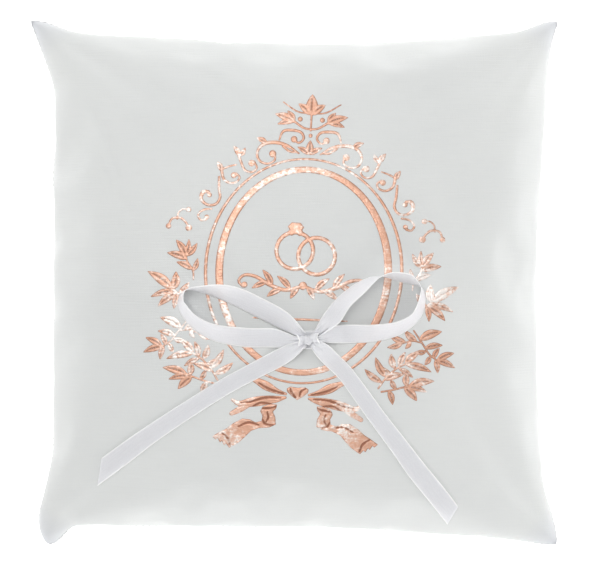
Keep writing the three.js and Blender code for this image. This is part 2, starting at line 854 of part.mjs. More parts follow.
// Leaf sprays down each side: stems as strokes, then leaves as base, tip and width.
const SPRAYS = [
  {
    stem: [
      [39.8, -5, 0.6],
      [40.2, -1.8, 0.7],
      [42.4, 1.4, 0.7],
      [43, 3.6, 0.8],
    ],
    leaves: [
      [42.9, 3.2, 46.9, 9.1, 2.3],
      [43, 3.4, 42.2, 9.6, 1.6],
      [43, 3.2, 39, 8.3, 1.9],
      [42.6, 2.2, 50, 4.2, 2.4],
      [40.4, -1.4, 46.4, 1, 1.9],
      [40.1, -2, 39.1, 2.4, 1.5],
    ],
  },
  {
    stem: [
      [44.8, -10.8, 0.7],
      [46, -9.9, 0.8],
      [47.6, -9, 0.9],
    ],
    leaves: [
      [47.2, -9.1, 56.8, -2.9, 3.2],
      [47, -9.2, 46.3, -3.1, 2.7],
      [46.6, -9.6, 54.9, -12.4, 2],
      [45.6, -10.2, 52.6, -15.2, 2.4],
    ],
  },
  {
    stem: [
      [42.6, -22.6, 0.7],
      [44.6, -25.4, 0.7],
      [47.2, -28.4, 0.7],
      [50.4, -30.2, 0.6],
    ],
    leaves: [
      [43.4, -23.6, 50.6, -20.2, 2.6],
      [45.4, -26.2, 50.2, -24.9, 1.8],
      [50, -30, 56.2, -27.2, 2],
      [50, -30.1, 56.3, -32.3, 2],
      [48.6, -29.4, 51, -26.2, 1.5],
      [49.4, -29.8, 50.4, -33.8, 1.6],
    ],
  },
  {
    stem: [
      [29.2, -41.2, 0.7],
      [32, -37, 0.7],
      [35.6, -33.6, 0.7],
      [39.6, -31.4, 0.7],
    ],
    leaves: [
      [38.4, -31.8, 43, -27.6, 2.2],
      [38.6, -32, 47.6, -34.3, 2],
      [34.8, -33.8, 33.6, -29.8, 2],
      [31.8, -37, 27.9, -30.6, 2.1],
      [30.4, -39, 24.6, -35, 2],
      [31, -38, 37.4, -35.8, 2.1],
    ],
  },
  {
    stem: [
      [30.4, -42.4, 0.7],
      [35, -41.4, 0.7],
      [40.6, -39.6, 0.7],
    ],
    leaves: [
      [40.2, -39.8, 48.4, -37.9, 2.4],
      [39.4, -40, 39.2, -35.6, 1.9],
      [38.6, -40.4, 43, -44.4, 2.3],
      [33, -41.8, 34.6, -46, 1.8],
    ],
  },
];

function spray(side, index) {
  const { stem, leaves } = SPRAYS[index];
  return foil("foil_spray_" + label(side) + "_" + (index + 1), [
    mirroredStroke(side, stem, 5),
    ...leaves.map((numbers) => mirroredLeaf(side, numbers)),
  ]);
}

// Two linked rings inside the oval, one with a small stone.
function ringsMotif() {
  const radius = 6.6;
  const ringAt = (x, y) => ovalRing([radius, radius], [1.5, 1.5], 20).translate([x, y, 0]);
  const stone = [
    [-1.7, 0],
    [1.7, 0],
    [3, 2],
    [1.6, 3.6],
    [-1.6, 3.6],
    [-3, 2],
  ];
  return foil("foil_rings_motif", [
    ringAt(-3.6, 7.2),
    ringAt(4.4, 5.6),
    slab(stone.map(([x, y]) => [x - 3.6, y + 7.2 + radius])),
  ]);
}

// A leafy flourish below the rings.
function flourish() {
  const pieces = [spot(0, -5.4, 1.5)];
  for (const side of [1, -1]) {
    const branch = [
      [0, -5.4, 1.2],
      [6, -7.2, 1.4],
      [12, -5.6, 1.5],
      [17.5, -2.8, 1.3],
      [21.6, -2.6, 1.1],
      [23.4, -4.8, 1],
      [21.8, -6.6, 0.9],
    ];
    pieces.push(mirroredStroke(side, branch, 16));
    pieces.push(mirroredSpot(side, 21.2, -6, 1.1));
    pieces.push(mirroredLeaf(side, [4.4, -6.8, 9.6, -2.2, 2.4]));
    pieces.push(mirroredLeaf(side, [7.6, -6.9, 13, -10, 2.3]));
    pieces.push(mirroredLeaf(side, [11, -5.9, 15, -0.2, 2.4]));
    pieces.push(mirroredLeaf(side, [13.4, -4.9, 18.6, -7.2, 2.1]));
    pieces.push(mirroredLeaf(side, [1.4, -5.8, 4.4, -10.4, 2.2]));
  }
  return foil("foil_flourish", pieces);
}

function rule() {
  const line = [
    [-17.6, -17.8, 0.5],
    [0, -17.6, 0.9],
    [16.6, -17.4, 0.5],
  ];
  return foil("foil_rule", [stroke(line, 8)]);
}

// The printed bow under the oval.
function printedKnot() {
  const half = [
    [0, -43],
    [1.2, -42.3],
    [2.7, -42.1],
    [4, -42.9],
    [3.8, -44],
    [2.2, -45.5],
  ];
  const other = flip(half.slice(1), -1).reverse();
  return foil("foil_bow_knot", [slab([...half.reverse(), ...other.reverse(), [0, -46.9]].reverse())]);
}

function printedLoop(side) {
  const upper = [
    [5.2, -44.7, 0.8],
    [8.6, -43.6, 1.6],
    [12.4, -41.8, 3],
    [15.4, -40.8, 1.6],
  ];
  const lower = [
    [5.2, -44.9, 0.8],
    [9.2, -47.6, 1.8],
    [14.4, -48.4, 3],
    [20.6, -48, 2.2],
  ];
  return foil("foil_bow_loop_" + label(side), [
    mirroredStroke(side, upper, 6),
    mirroredStroke(side, lower, 7),
  ]);
}

function printedTail(side) {
  const path = [
    [7.2, -50.2, 1.6],
    [10.2, -51.4, 3.4],
    [10, -54.4, 4.2],
    [10.4, -56.4, 2],
    [14.6, -56.6, 1.2],
    [18.6, -57, 3.4],
    [22.6, -60, 5],
    [26.6, -63.4, 5.6],
  ];
  return foil("foil_bow_tail_" + label(side), [mirroredStroke(side, path, 14)]);
}

// ---- The object ----
const cushion = new THREE.Group();
cushion.name = "ring_bearer_cushion";
cushion.add(frontCover(), backCover(), fibreFill());
cushion.add(perimeterSeamThread(), closingSeamThread());
cushion.add(ribbonCentre(), ribbonTackThread(), bowKnot());
cushion.add(bowLoopLeft(), bowLoopRight(), ribbonTailLeft(), ribbonTailRight());
cushion.add(innerBand(), outerLine(), crestFlower(), crestDot(), crestLily());
cushion.add(ringsMotif(), flourish(), rule(), printedKnot());
for (const side of [-1, 1]) {
  cushion.add(crestBead(side), crestScroll(side), tendril(side));
  for (let number = 1; number <= 5; number++) cushion.add(vine(side, number));
  for (let index = 0; index < SPRAYS.length; index++) cushion.add(spray(side, index));
  cushion.add(printedLoop(side), printedTail(side));
}

export default cushion;
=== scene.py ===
"""Looks for a ring bearer cushion.

A filled satin cushion with a rose foil design on its front and a ribbon tied in a bow.
"""

import sys
import json
import logging
import math
from dataclasses import dataclass, field
from enum import Enum
from typing import Any, Optional, Sequence, Union

import bpy
import numpy as np
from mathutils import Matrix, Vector
from mathutils.bvhtree import BVHTree


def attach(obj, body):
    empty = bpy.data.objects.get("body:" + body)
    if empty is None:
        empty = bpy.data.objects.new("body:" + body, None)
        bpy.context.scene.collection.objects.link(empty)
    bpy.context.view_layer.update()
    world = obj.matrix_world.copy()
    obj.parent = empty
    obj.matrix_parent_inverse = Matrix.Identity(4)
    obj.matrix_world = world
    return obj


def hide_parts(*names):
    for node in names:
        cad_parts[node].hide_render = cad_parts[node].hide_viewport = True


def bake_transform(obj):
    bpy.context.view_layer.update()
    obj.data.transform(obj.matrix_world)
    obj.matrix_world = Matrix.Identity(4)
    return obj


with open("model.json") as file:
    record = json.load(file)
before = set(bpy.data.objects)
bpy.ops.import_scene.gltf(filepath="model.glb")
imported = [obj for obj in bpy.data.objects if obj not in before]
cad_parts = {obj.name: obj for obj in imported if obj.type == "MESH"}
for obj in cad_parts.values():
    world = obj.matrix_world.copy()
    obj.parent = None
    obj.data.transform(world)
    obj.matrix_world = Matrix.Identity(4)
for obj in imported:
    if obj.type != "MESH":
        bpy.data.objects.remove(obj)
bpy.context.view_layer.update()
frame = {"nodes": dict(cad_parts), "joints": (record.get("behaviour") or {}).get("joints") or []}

log = logging.getLogger("ring_cushion")

MM = 0.001
CUSHION_BODY = "cushion"
KNOT_AT = (5.1, -20.3)  # middle of the knot, mm
SEAM_LEVEL = 28.0  # level of the seam over the table, mm
KNOT_LEVEL = 59.7  # level of the front panel under the knot, mm
RIBBON_WIDTH = 7.5  # mm


class Side(Enum):
    """A half of the cushion, as the sign of its x."""

    LEFT = -1
    RIGHT = 1

    @property
    def label(self) -> str:
        """The word used for this side in piece names."""
        return self.name.lower()


# ---------------------------------------------------------------- shader bench


class Value:
    """A shader socket that takes part in arithmetic."""

    def __init__(self, bench: "Bench", socket: bpy.types.NodeSocket) -> None:
        """Wraps a socket.

        Args:
            bench: the node tree the socket belongs to.
            socket: the output socket.
        """
        self.bench = bench
        self.socket = socket

    def _with(self, operation: str, other: "Number", swapped: bool = False) -> "Value":
        """Adds one Math node.

        Args:
            operation: the Math node's operation.
            other: the second operand.
            swapped: True puts other first.

        Returns:
            The result.
        """
        pair = (other, self) if swapped else (self, other)
        made = self.bench.add(
            "ShaderNodeMath", {"operation": operation}, {0: pair[0], 1: pair[1]}
        )
        return made[0]

    def __add__(self, other: "Number") -> "Value":
        """Sum."""
        return self._with("ADD", other)

    def __radd__(self, other: "Number") -> "Value":
        """Sum with the number first."""
        return self._with("ADD", other, True)

    def __sub__(self, other: "Number") -> "Value":
        """Difference."""
        return self._with("SUBTRACT", other)

    def __rsub__(self, other: "Number") -> "Value":
        """Difference with the number first."""
        return self._with("SUBTRACT", other, True)

    def __mul__(self, other: "Number") -> "Value":
        """Product."""
        return self._with("MULTIPLY", other)

    def __rmul__(self, other: "Number") -> "Value":
        """Product with the number first."""
        return self._with("MULTIPLY", other, True)

    def __pow__(self, other: "Number") -> "Value":
        """Power."""
        return self._with("POWER", other)

    def size(self) -> "Value":
        """Absolute value."""
        return self._with("ABSOLUTE", 0.0)

    def wave(self) -> "Value":
        """Sine."""
        return self._with("SINE", 0.0)


Number = Union[float, Value]


class Made:
    """A node that was added, read by the names or numbers of its outputs."""

    def __init__(self, bench: "Bench", node: bpy.types.Node) -> None:
        """Wraps a node.

        Args:
            bench: the tree the node belongs to.
            node: the node.
        """
        self.bench = bench
        self.node = node

    def __getitem__(self, key: Union[int, str]) -> Value:
        """One output as a value."""
        return Value(self.bench, self.node.outputs[key])


class Bench:
    """The node tree of one finish."""

    def __init__(self, name: str) -> None:
        """Starts an empty material.

        Args:
            name: the material's name.
        """
        self.material = bpy.data.materials.new(name)
        self.material.use_nodes = True
        self.tree = self.material.node_tree
        self.tree.nodes.clear()

    def add(
        self,
        kind: str,
        settings: Optional[dict[str, Any]] = None,
        sockets: Optional[dict[Union[int, str], Any]] = None,
    ) -> Made:
        """Adds a node.

        Args:
            kind: the node's type.
            settings: its own settings, set first; stops are a ramp's (place, colour) pairs.
            sockets: numbers, colours or values for its inputs.

        Returns:
            The node.
        """
        node = self.tree.nodes.new(kind)
        for key, setting in (settings or {}).items():
            if key == "stops":
                self._set_stops(node, setting)
            else:
                setattr(node, key, setting)
        for key, value in (sockets or {}).items():
            if isinstance(value, Value):
                self.tree.links.new(value.socket, node.inputs[key])
            else:
                node.inputs[key].default_value = value
        return Made(self, node)

    @staticmethod
    def _set_stops(node: bpy.types.Node, stops: Sequence[tuple[float, Any]]) -> None:
        """Sets the stops of a ramp.

        Args:
            node: the ramp.
            stops: (place, colour) pairs in order.
        """
        elements = node.color_ramp.elements
        while len(elements) > 1:
            elements.remove(elements[-1])
        elements[0].position = stops[0][0]
        elements[0].color = stops[0][1]
        for place, colour in stops[1:]:
            elements.new(place).color = colour

    def ramp(self, factor: Value, *stops: tuple[float, float]) -> Value:
        """A number that follows a curve of stops.

        Args:
            factor: where to read the curve.
            stops: (place, height) pairs.

        Returns:
            The height.
        """
        grey = [(place, (high, high, high, 1.0)) for place, high in stops]
        return self.add("ShaderNodeValToRGB", {"stops": grey}, {0: factor})[0]

    def mixed(self, factor: Value, first: Any, second: Any) -> Value:
        """A colour between two others.

        Args:
            factor: 0 gives the first, 1 the second.
            first: a colour.
            second: a colour.

        Returns:
            The colour.
        """
        settings = {"data_type": "RGBA"}
        return self.add(
            "ShaderNodeMix", settings, {0: factor, 6: first, 7: second}
        )[2]

    def noise(self, place: Value, scale: float, detail: float = 2.0) -> Value:
        """A noise about 0.5.

        Args:
            place: where to read it.
            scale: its fineness.
            detail: how many finer layers it has.

        Returns:
            The noise.
        """
        sockets = {"Vector": place, "Scale": scale, "Detail": detail}
        return self.add("ShaderNodeTexNoise", None, sockets)[0]

    def stretched(self, place: Value, by: tuple[float, float, float]) -> Value:
        """A place multiplied by three numbers.

        Args:
            place: the place.
            by: the factor of each coordinate.

        Returns:
            The place.
        """
        settings = {"operation": "MULTIPLY"}
        return self.add("ShaderNodeVectorMath", settings, {0: place, 1: by})[0]

    def attribute(self, name: str) -> Made:
        """A value that the mesh carries."""
        return self.add("ShaderNodeAttribute", {"attribute_name": name})

    def surface(
        self,
        base: Any,
        roughness: Number,
        height: Optional[Value] = None,
        depth: float = 0.0,
        **constants: Any,
    ) -> bpy.types.Material:
        """Ends the material in one surface shader.

        Args:
            base: its colour.
            roughness: its roughness.
            height: a relief for its bump.
            depth: how deep the relief is, in metres.
            constants: other inputs, with _ for a space.

        Returns:
            The material.
        """
        sockets: dict[Union[int, str], Any] = {"Base Color": base, "Roughness": roughness}
        if height is not None:
            bump = {"Height": height, "Distance": depth, "Strength": 1.0}
            sockets["Normal"] = self.add("ShaderNodeBump", None, bump)[0]
        for key, value in constants.items():
            sockets[key.replace("_", " ")] = value
        shader = self.add("ShaderNodeBsdfPrincipled", None, sockets)
        self.add("ShaderNodeOutputMaterial", None, {"Surface": shader[0]})
        return self.material


# ---------------------------------------------------------------- finishes


def rgb(red: float, green: float, blue: float) -> tuple[float, float, float, float]:
    """A linear colour with full alpha."""
    return (red, green, blue, 1.0)


@dataclass(frozen=True)
class CushionSatin:
    """White satin of the cushion's panels, with painted shade at the corner tips."""

    name: str = "white_satin"
    light: tuple[float, float, float, float] = rgb(0.700, 0.712, 0.700)
    shade: tuple[float, float, float, float] = rgb(0.655, 0.668, 0.662)
    # hollow: painted shade colour, blue-grey, for the corner tips
    hollow: tuple[float, float, float, float] = rgb(0.560, 0.572, 0.615)
    half: float = 100.0  # middle of a panel to its seam, mm
    thread: float = 0.26  # spacing of the long threads, mm

    def material(self) -> bpy.types.Material:
        """Makes the material.

        Returns:
            The material.
        """
        bench = Bench(self.name)
        lay = bench.attribute("lay")[1]
        slub = bench.noise(bench.stretched(lay, (0.09, 1.9, 1.0)), 1.0, 3.0)
        weft = bench.noise(bench.stretched(lay, (2.2, 0.25, 1.0)), 1.0, 2.0)
        cloud = bench.noise(bench.stretched(lay, (1.0, 1.0, 1.0)), 0.022, 2.0)
        parts = bench.add("ShaderNodeSeparateXYZ", None, {0: lay})
        warp = (parts[1] * (2 * math.pi / self.thread)).wave()
        knots = (parts[0] * (2 * math.pi / (self.thread * 2.6)) + parts[1] * 9.0).wave()
        tone = cloud * 0.8 + slub * 0.35 + weft * 0.15 - 0.15
        base = bench.mixed(bench.ramp(tone, (0.3, 0.0), (0.75, 1.0)), self.shade, self.light)
        # painted shade: darkens and blues the satin towards each corner tip, standing in for the
        # shade on the drooping dog-ear corners
        corner_shade_mask = (parts[0] * (1 / self.half)).size() * (parts[1] * (1 / self.half)).size()
        base = bench.mixed(bench.ramp(corner_shade_mask, (0.8, 0.0), (0.98, 0.75)), base, self.hollow)
        relief = slub * 0.5 + weft * 0.22 + warp * 0.05 + knots * 0.03
        rough = slub * 0.16 + weft * 0.1 + 0.33
        return bench.surface(
            base, rough, relief, 0.00016, Specular_IOR_Level=0.42, Sheen_Weight=0.12,
            Sheen_Roughness=0.45,
        )


@dataclass(frozen=True)
class RibbonSatin:
    """Satin ribbon with a woven edge down each side, coloured near white as a painted highlight."""

    name: str = "ribbon_satin"
    middle: tuple[float, float, float, float] = rgb(0.845, 0.850, 0.885)
    dip: tuple[float, float, float, float] = rgb(0.775, 0.778, 0.818)
    # edge: colour of the woven edges, lightened to near white as a painted highlight
    edge: tuple[float, float, float, float] = rgb(0.99, 0.99, 0.995)
    rib: float = 0.42  # spacing of the cross ribs, mm

    def material(self) -> bpy.types.Material:
        """Makes the material.

        Returns:
            The material.
        """
        bench = Bench(self.name)
        lay = bench.attribute("lay")[1]
        parts = bench.add("ShaderNodeSeparateXYZ", None, {0: lay})
        across, along = parts[0], parts[1]
        half = RIBBON_WIDTH / 2
        selvedge_and_highlight = bench.ramp(across.size() * (1 / half), (0.85, 0.0), (0.91, 1.0))
        streaks = bench.noise(bench.stretched(lay, (2.6, 0.16, 1.0)), 1.0, 3.0)
        fleck = bench.noise(bench.stretched(lay, (1.3, 2.4, 1.0)), 1.0, 3.0)
        ribs = (along * (2 * math.pi / self.rib)).wave()
        tone = streaks * 0.6 + fleck * 0.5 - 0.05
        cloth = bench.mixed(bench.ramp(tone, (0.3, 0.0), (0.72, 1.0)), self.dip, self.middle)
        # the woven edges are real, and their near-white colour is a painted highlight
        base = bench.mixed(selvedge_and_highlight, cloth, self.edge)
        relief = ribs * 0.1 + streaks * 0.5 + fleck * 0.35 + selvedge_and_highlight * 0.5
        rough = 0.3 + streaks * 0.16 + selvedge_and_highlight * 0.12
        return bench.surface(
            base, rough, relief, 0.00012, Specular_IOR_Level=0.5, Sheen_Weight=0.1,
            Sheen_Roughness=0.4, Subsurface_Weight=0.55, Subsurface_Radius=(1.0, 1.0, 1.0),
            Subsurface_Scale=0.0012,
        )


@dataclass(frozen=True)
class RoseFoil:
    """Crinkled rose metal foil pressed onto the satin, with painted glints and painted shade along
    its edges and creases.
    """

    name: str = "pressed_rose_foil"
    copper: tuple[float, float, float, float] = rgb(0.75, 0.425, 0.300)
    blush: tuple[float, float, float, float] = rgb(0.87, 0.64, 0.535)
    # glint: painted glint colour
    glint: tuple[float, float, float, float] = rgb(1.0, 0.93, 0.88)
    # burnt: painted shade colour for the foil's edges and pressed creases
    burnt: tuple[float, float, float, float] = rgb(0.33, 0.14, 0.085)

    def material(self) -> bpy.types.Material:
        """Makes the material.

        Returns:
            The material.
        """
        bench = Bench(self.name)
        place = bench.add("ShaderNodeTexCoord")["Object"]
        fine = bench.noise(place, 1500.0, 4.0)
        crinkle = bench.noise(place, 620.0, 3.0)
        streak = bench.noise(bench.stretched(place, (1.0, 3.2, 1.0)), 380.0, 3.0)
        patch = bench.noise(place, 48.0, 2.0)
        rim = bench.attribute("rim")[2]
        # noise mask for the lighter tones: the copper to blush mix is partly the foil's own patchy
        # tone and partly painted highlight, and the glint colour is painted glints
        glint_highlight_mask = patch * 1.1 + crinkle * 0.7 + streak * 0.55 + fine * 0.35 - 0.86
        base = bench.mixed(bench.ramp(glint_highlight_mask, (0.40, 0.0), (0.60, 1.0)), self.copper, self.blush)
        base = bench.mixed(bench.ramp(glint_highlight_mask, (0.56, 0.0), (0.70, 1.0)), base, self.glint)
        # painted shade: darkens the foil along its edges and its pressed creases
        edge_and_crease_shade_mask = rim * bench.ramp(crinkle * 0.5 + patch * 0.5, (0.44, 1.0), (0.58, 0.2))
        base = bench.mixed(edge_and_crease_shade_mask * 0.9, base, self.burnt)
        rough = 0.3 + fine * 0.2
        return bench.surface(
            base, rough, crinkle * 0.7 + streak * 0.6 + fine * 0.4, 0.00030, Metallic=0.5
        )


@dataclass(frozen=True)
class SewingThread:
    """Twisted polyester thread."""

    name: str = "sewing_thread"
    colour: tuple[float, float, float, float] = rgb(0.80, 0.80, 0.79)
    dip: tuple[float, float, float, float] = rgb(0.58, 0.58, 0.57)

    def material(self) -> bpy.types.Material:
        """Makes the material.

        Returns:
            The material.
        """
        bench = Bench(self.name)
        place = bench.add("ShaderNodeTexCoord")["Object"]
        twist = bench.noise(bench.stretched(place, (1.0, 1.0, 1.0)), 4200.0, 1.0)
        base = bench.mixed(twist, self.dip, self.colour)
        return bench.surface(base, 0.55 + twist * 0.2, twist, 0.0001, Sheen_Weight=0.2)


@dataclass(frozen=True)
class FibreFilling:
    """Loose polyester filling."""

    name: str = "fibre_filling"
    colour: tuple[float, float, float, float] = rgb(0.86, 0.86, 0.85)
    dip: tuple[float, float, float, float] = rgb(0.66, 0.66, 0.65)

    def material(self) -> bpy.types.Material:
        """Makes the material.

        Returns:
            The material.
        """
        bench = Bench(self.name)
        place = bench.add("ShaderNodeTexCoord")["Object"]
        hair = bench.noise(bench.stretched(place, (1.0, 0.25, 1.0)), 900.0, 4.0)
        base = bench.mixed(hair, self.dip, self.colour)
        return bench.surface(base, 0.85 + hair * 0.1, hair, 0.001, Sheen_Weight=0.4)


@dataclass(frozen=True)
class PaleTable:
    """The pale floor under the cushion."""

    name: str = "pale_table"
    colour: tuple[float, float, float, float] = rgb(0.93, 0.93, 0.93)
    glow: float = 0.56

    def material(self) -> bpy.types.Material:
        """Makes the material.

        Returns:
            The material.
        """
        bench = Bench(self.name)
        place = bench.add("ShaderNodeTexCoord")["Object"]
        grain = bench.noise(place, 6.0, 2.0)
        base = bench.mixed(grain * 0.1, self.colour, rgb(0.88, 0.88, 0.88))
        return bench.surface(
            base, 0.9, Emission_Color=rgb(1.0, 1.0, 1.0), Emission_Strength=self.glow
        )


Finish = Union[CushionSatin, RibbonSatin, RoseFoil, SewingThread, FibreFilling, PaleTable]


def made_once(finish: Finish) -> bpy.types.Material:
    """The material of a finish, made when it is first wanted.

    Args:
        finish: the finish, whose name no other material of the frame has.

    Returns:
        The material.
    """
    return bpy.data.materials.get(finish.name) or finish.material()


# ---------------------------------------------------------------- meshes


def mesh_piece(
    name: str,
    points: np.ndarray,
    faces: Sequence[Sequence[int]],
    material: bpy.types.Material,
    lay: Optional[np.ndarray] = None,
) -> bpy.types.Object:
    """Makes a smooth shaded mesh object.

    Args:
        name: the piece's name.
        points: its vertices in metres.
        faces: its faces.
        material: its finish.
        lay: where each vertex lies on the flat cloth, in mm.

    Returns:
        The object.
    """
    mesh = bpy.data.meshes.new(name)
    mesh.from_pydata([tuple(p) for p in points], [], [tuple(f) for f in faces])
    mesh.update()
    if lay is not None:
        spread = mesh.attributes.new("lay", "FLOAT_VECTOR", "POINT")
        spread.data.foreach_set("vector", np.asarray(lay, np.float32).ravel())
    mesh.materials.append(material)
    mesh.polygons.foreach_set("use_smooth", [True] * len(mesh.polygons))
    piece = bpy.data.objects.new(name, mesh)
    bpy.context.scene.collection.objects.link(piece)
    return piece


def settle(piece: bpy.types.Object) -> bpy.types.Object:
    """Applies the piece's modifiers.

    Args:
        piece: the object.

    Returns:
        The same object.
    """
    graph = bpy.context.evaluated_depsgraph_get()
    mesh = bpy.data.meshes.new_from_object(piece.evaluated_get(graph), depsgraph=graph)
    old = piece.data
    piece.modifiers.clear()
    piece.data = mesh
    mesh.name = piece.name
    bpy.data.meshes.remove(old)
    return piece


def rounded(points: Sequence[Sequence[float]], steps: int) -> np.ndarray:
    """Even steps along a smooth curve through points of any number of coordinates.

    Args:
        points: the points.
        steps: how many steps to take.

    Returns:
        steps + 1 points.
    """
    p = np.array(points, float)
    p = np.vstack([2 * p[0] - p[1], p, 2 * p[-1] - p[-2]])
    fine = []
    for i in range(1, len(p) - 2):
        chord = [np.linalg.norm(p[k + 1, :2] - p[k, :2]) ** 0.5 for k in (i - 1, i, i + 1)]
        t0, t1 = 0.0, max(chord[0], 1e-6)
        t2 = t1 + max(chord[1], 1e-6)
        t3 = t2 + max(chord[2], 1e-6)
        t = np.linspace(t1, t2, 24, endpoint=i == len(p) - 3)[:, None]
        a1 = ((t1 - t) * p[i - 1] + (t - t0) * p[i]) / (t1 - t0)
        a2 = ((t2 - t) * p[i] + (t - t1) * p[i + 1]) / (t2 - t1)
        a3 = ((t3 - t) * p[i + 1] + (t - t2) * p[i + 2]) / (t3 - t2)
        b1 = ((t2 - t) * a1 + (t - t0) * a2) / (t2 - t0)
        b2 = ((t3 - t) * a2 + (t - t1) * a3) / (t3 - t1)
        fine.append(((t2 - t) * b1 + (t - t1) * b2) / (t2 - t1))
    curve = np.vstack(fine)
    run = np.r_[0, np.cumsum(np.linalg.norm(np.diff(curve[:, :2], axis=0), axis=1))]
    at = np.linspace(0, run[-1], steps + 1)
    return np.stack([np.interp(at, run, column) for column in curve.T], axis=1)


def unit(vectors: np.ndarray) -> np.ndarray:
    """The same directions with length 1."""
    return vectors / np.maximum(np.linalg.norm(vectors, axis=-1, keepdims=True), 1e-12)


def eased(t: Any) -> Any:
    """A smooth step from 0 to 1."""
    t = np.clip(t, 0.0, 1.0)
    return t * t * (3 - 2 * t)


def blurred(grid: np.ndarray, spread: float) -> np.ndarray:
    """A grid of numbers evened out over its neighbours.

    Args:
        grid: the numbers.
        spread: how far they are evened, in cells.

    Returns:
        The evened numbers.
    """
    reach = int(spread * 3)
    weights = np.exp(-0.5 * (np.arange(-reach, reach + 1) / spread) ** 2)
    weights /= weights.sum()
    for axis in (0, 1):
        wide = np.pad(grid, [(reach, reach) if a == axis else (0, 0) for a in (0, 1)], "edge")
        grid = np.apply_along_axis(lambda row: np.convolve(row, weights, "valid"), axis, wide)
    return grid


class Front:
    """The finished front panel as a surface to lay things on. All in mm."""

    def __init__(self, panel: bpy.types.Object) -> None:
        """Reads the panel's mesh.

        Args:
            panel: the front panel.
        """
        mesh = panel.data
        points = [v.co.copy() for v in mesh.vertices]
        faces = [tuple(p.vertices) for p in mesh.polygons]
        self.tree = BVHTree.FromPolygons(points, faces)

    def level(self, x: float, y: float) -> float:
        """Height of the panel over a plan position.

        Args:
            x: plan position, mm.
            y: plan position, mm.

        Returns:
            The height, mm.
        """
        hit = self.tree.ray_cast(Vector((x * MM, y * MM, 0.2)), Vector((0, 0, -1)))[0]
        return SEAM_LEVEL if hit is None else hit.z / MM

    def levels(self, plan: np.ndarray) -> np.ndarray:
        """Heights over many plan positions."""
        return np.array([self.level(x, y) for x, y in plan[:, :2]])

    def slope(self, x: float, y: float) -> np.ndarray:
        """Outward direction of the panel, smoothed over a few mm.

        Args:
            x: plan position, mm.
            y: plan position, mm.

        Returns:
            A direction of length 1.
        """
        h = 3.0
        dx = (self.level(x + h, y) - self.level(x - h, y)) / (2 * h)
        dy = (self.level(x, y + h) - self.level(x, y - h)) / (2 * h)
        return unit(np.array([-dx, -dy, 1.0]))


# ---------------------------------------------------------------- cushion


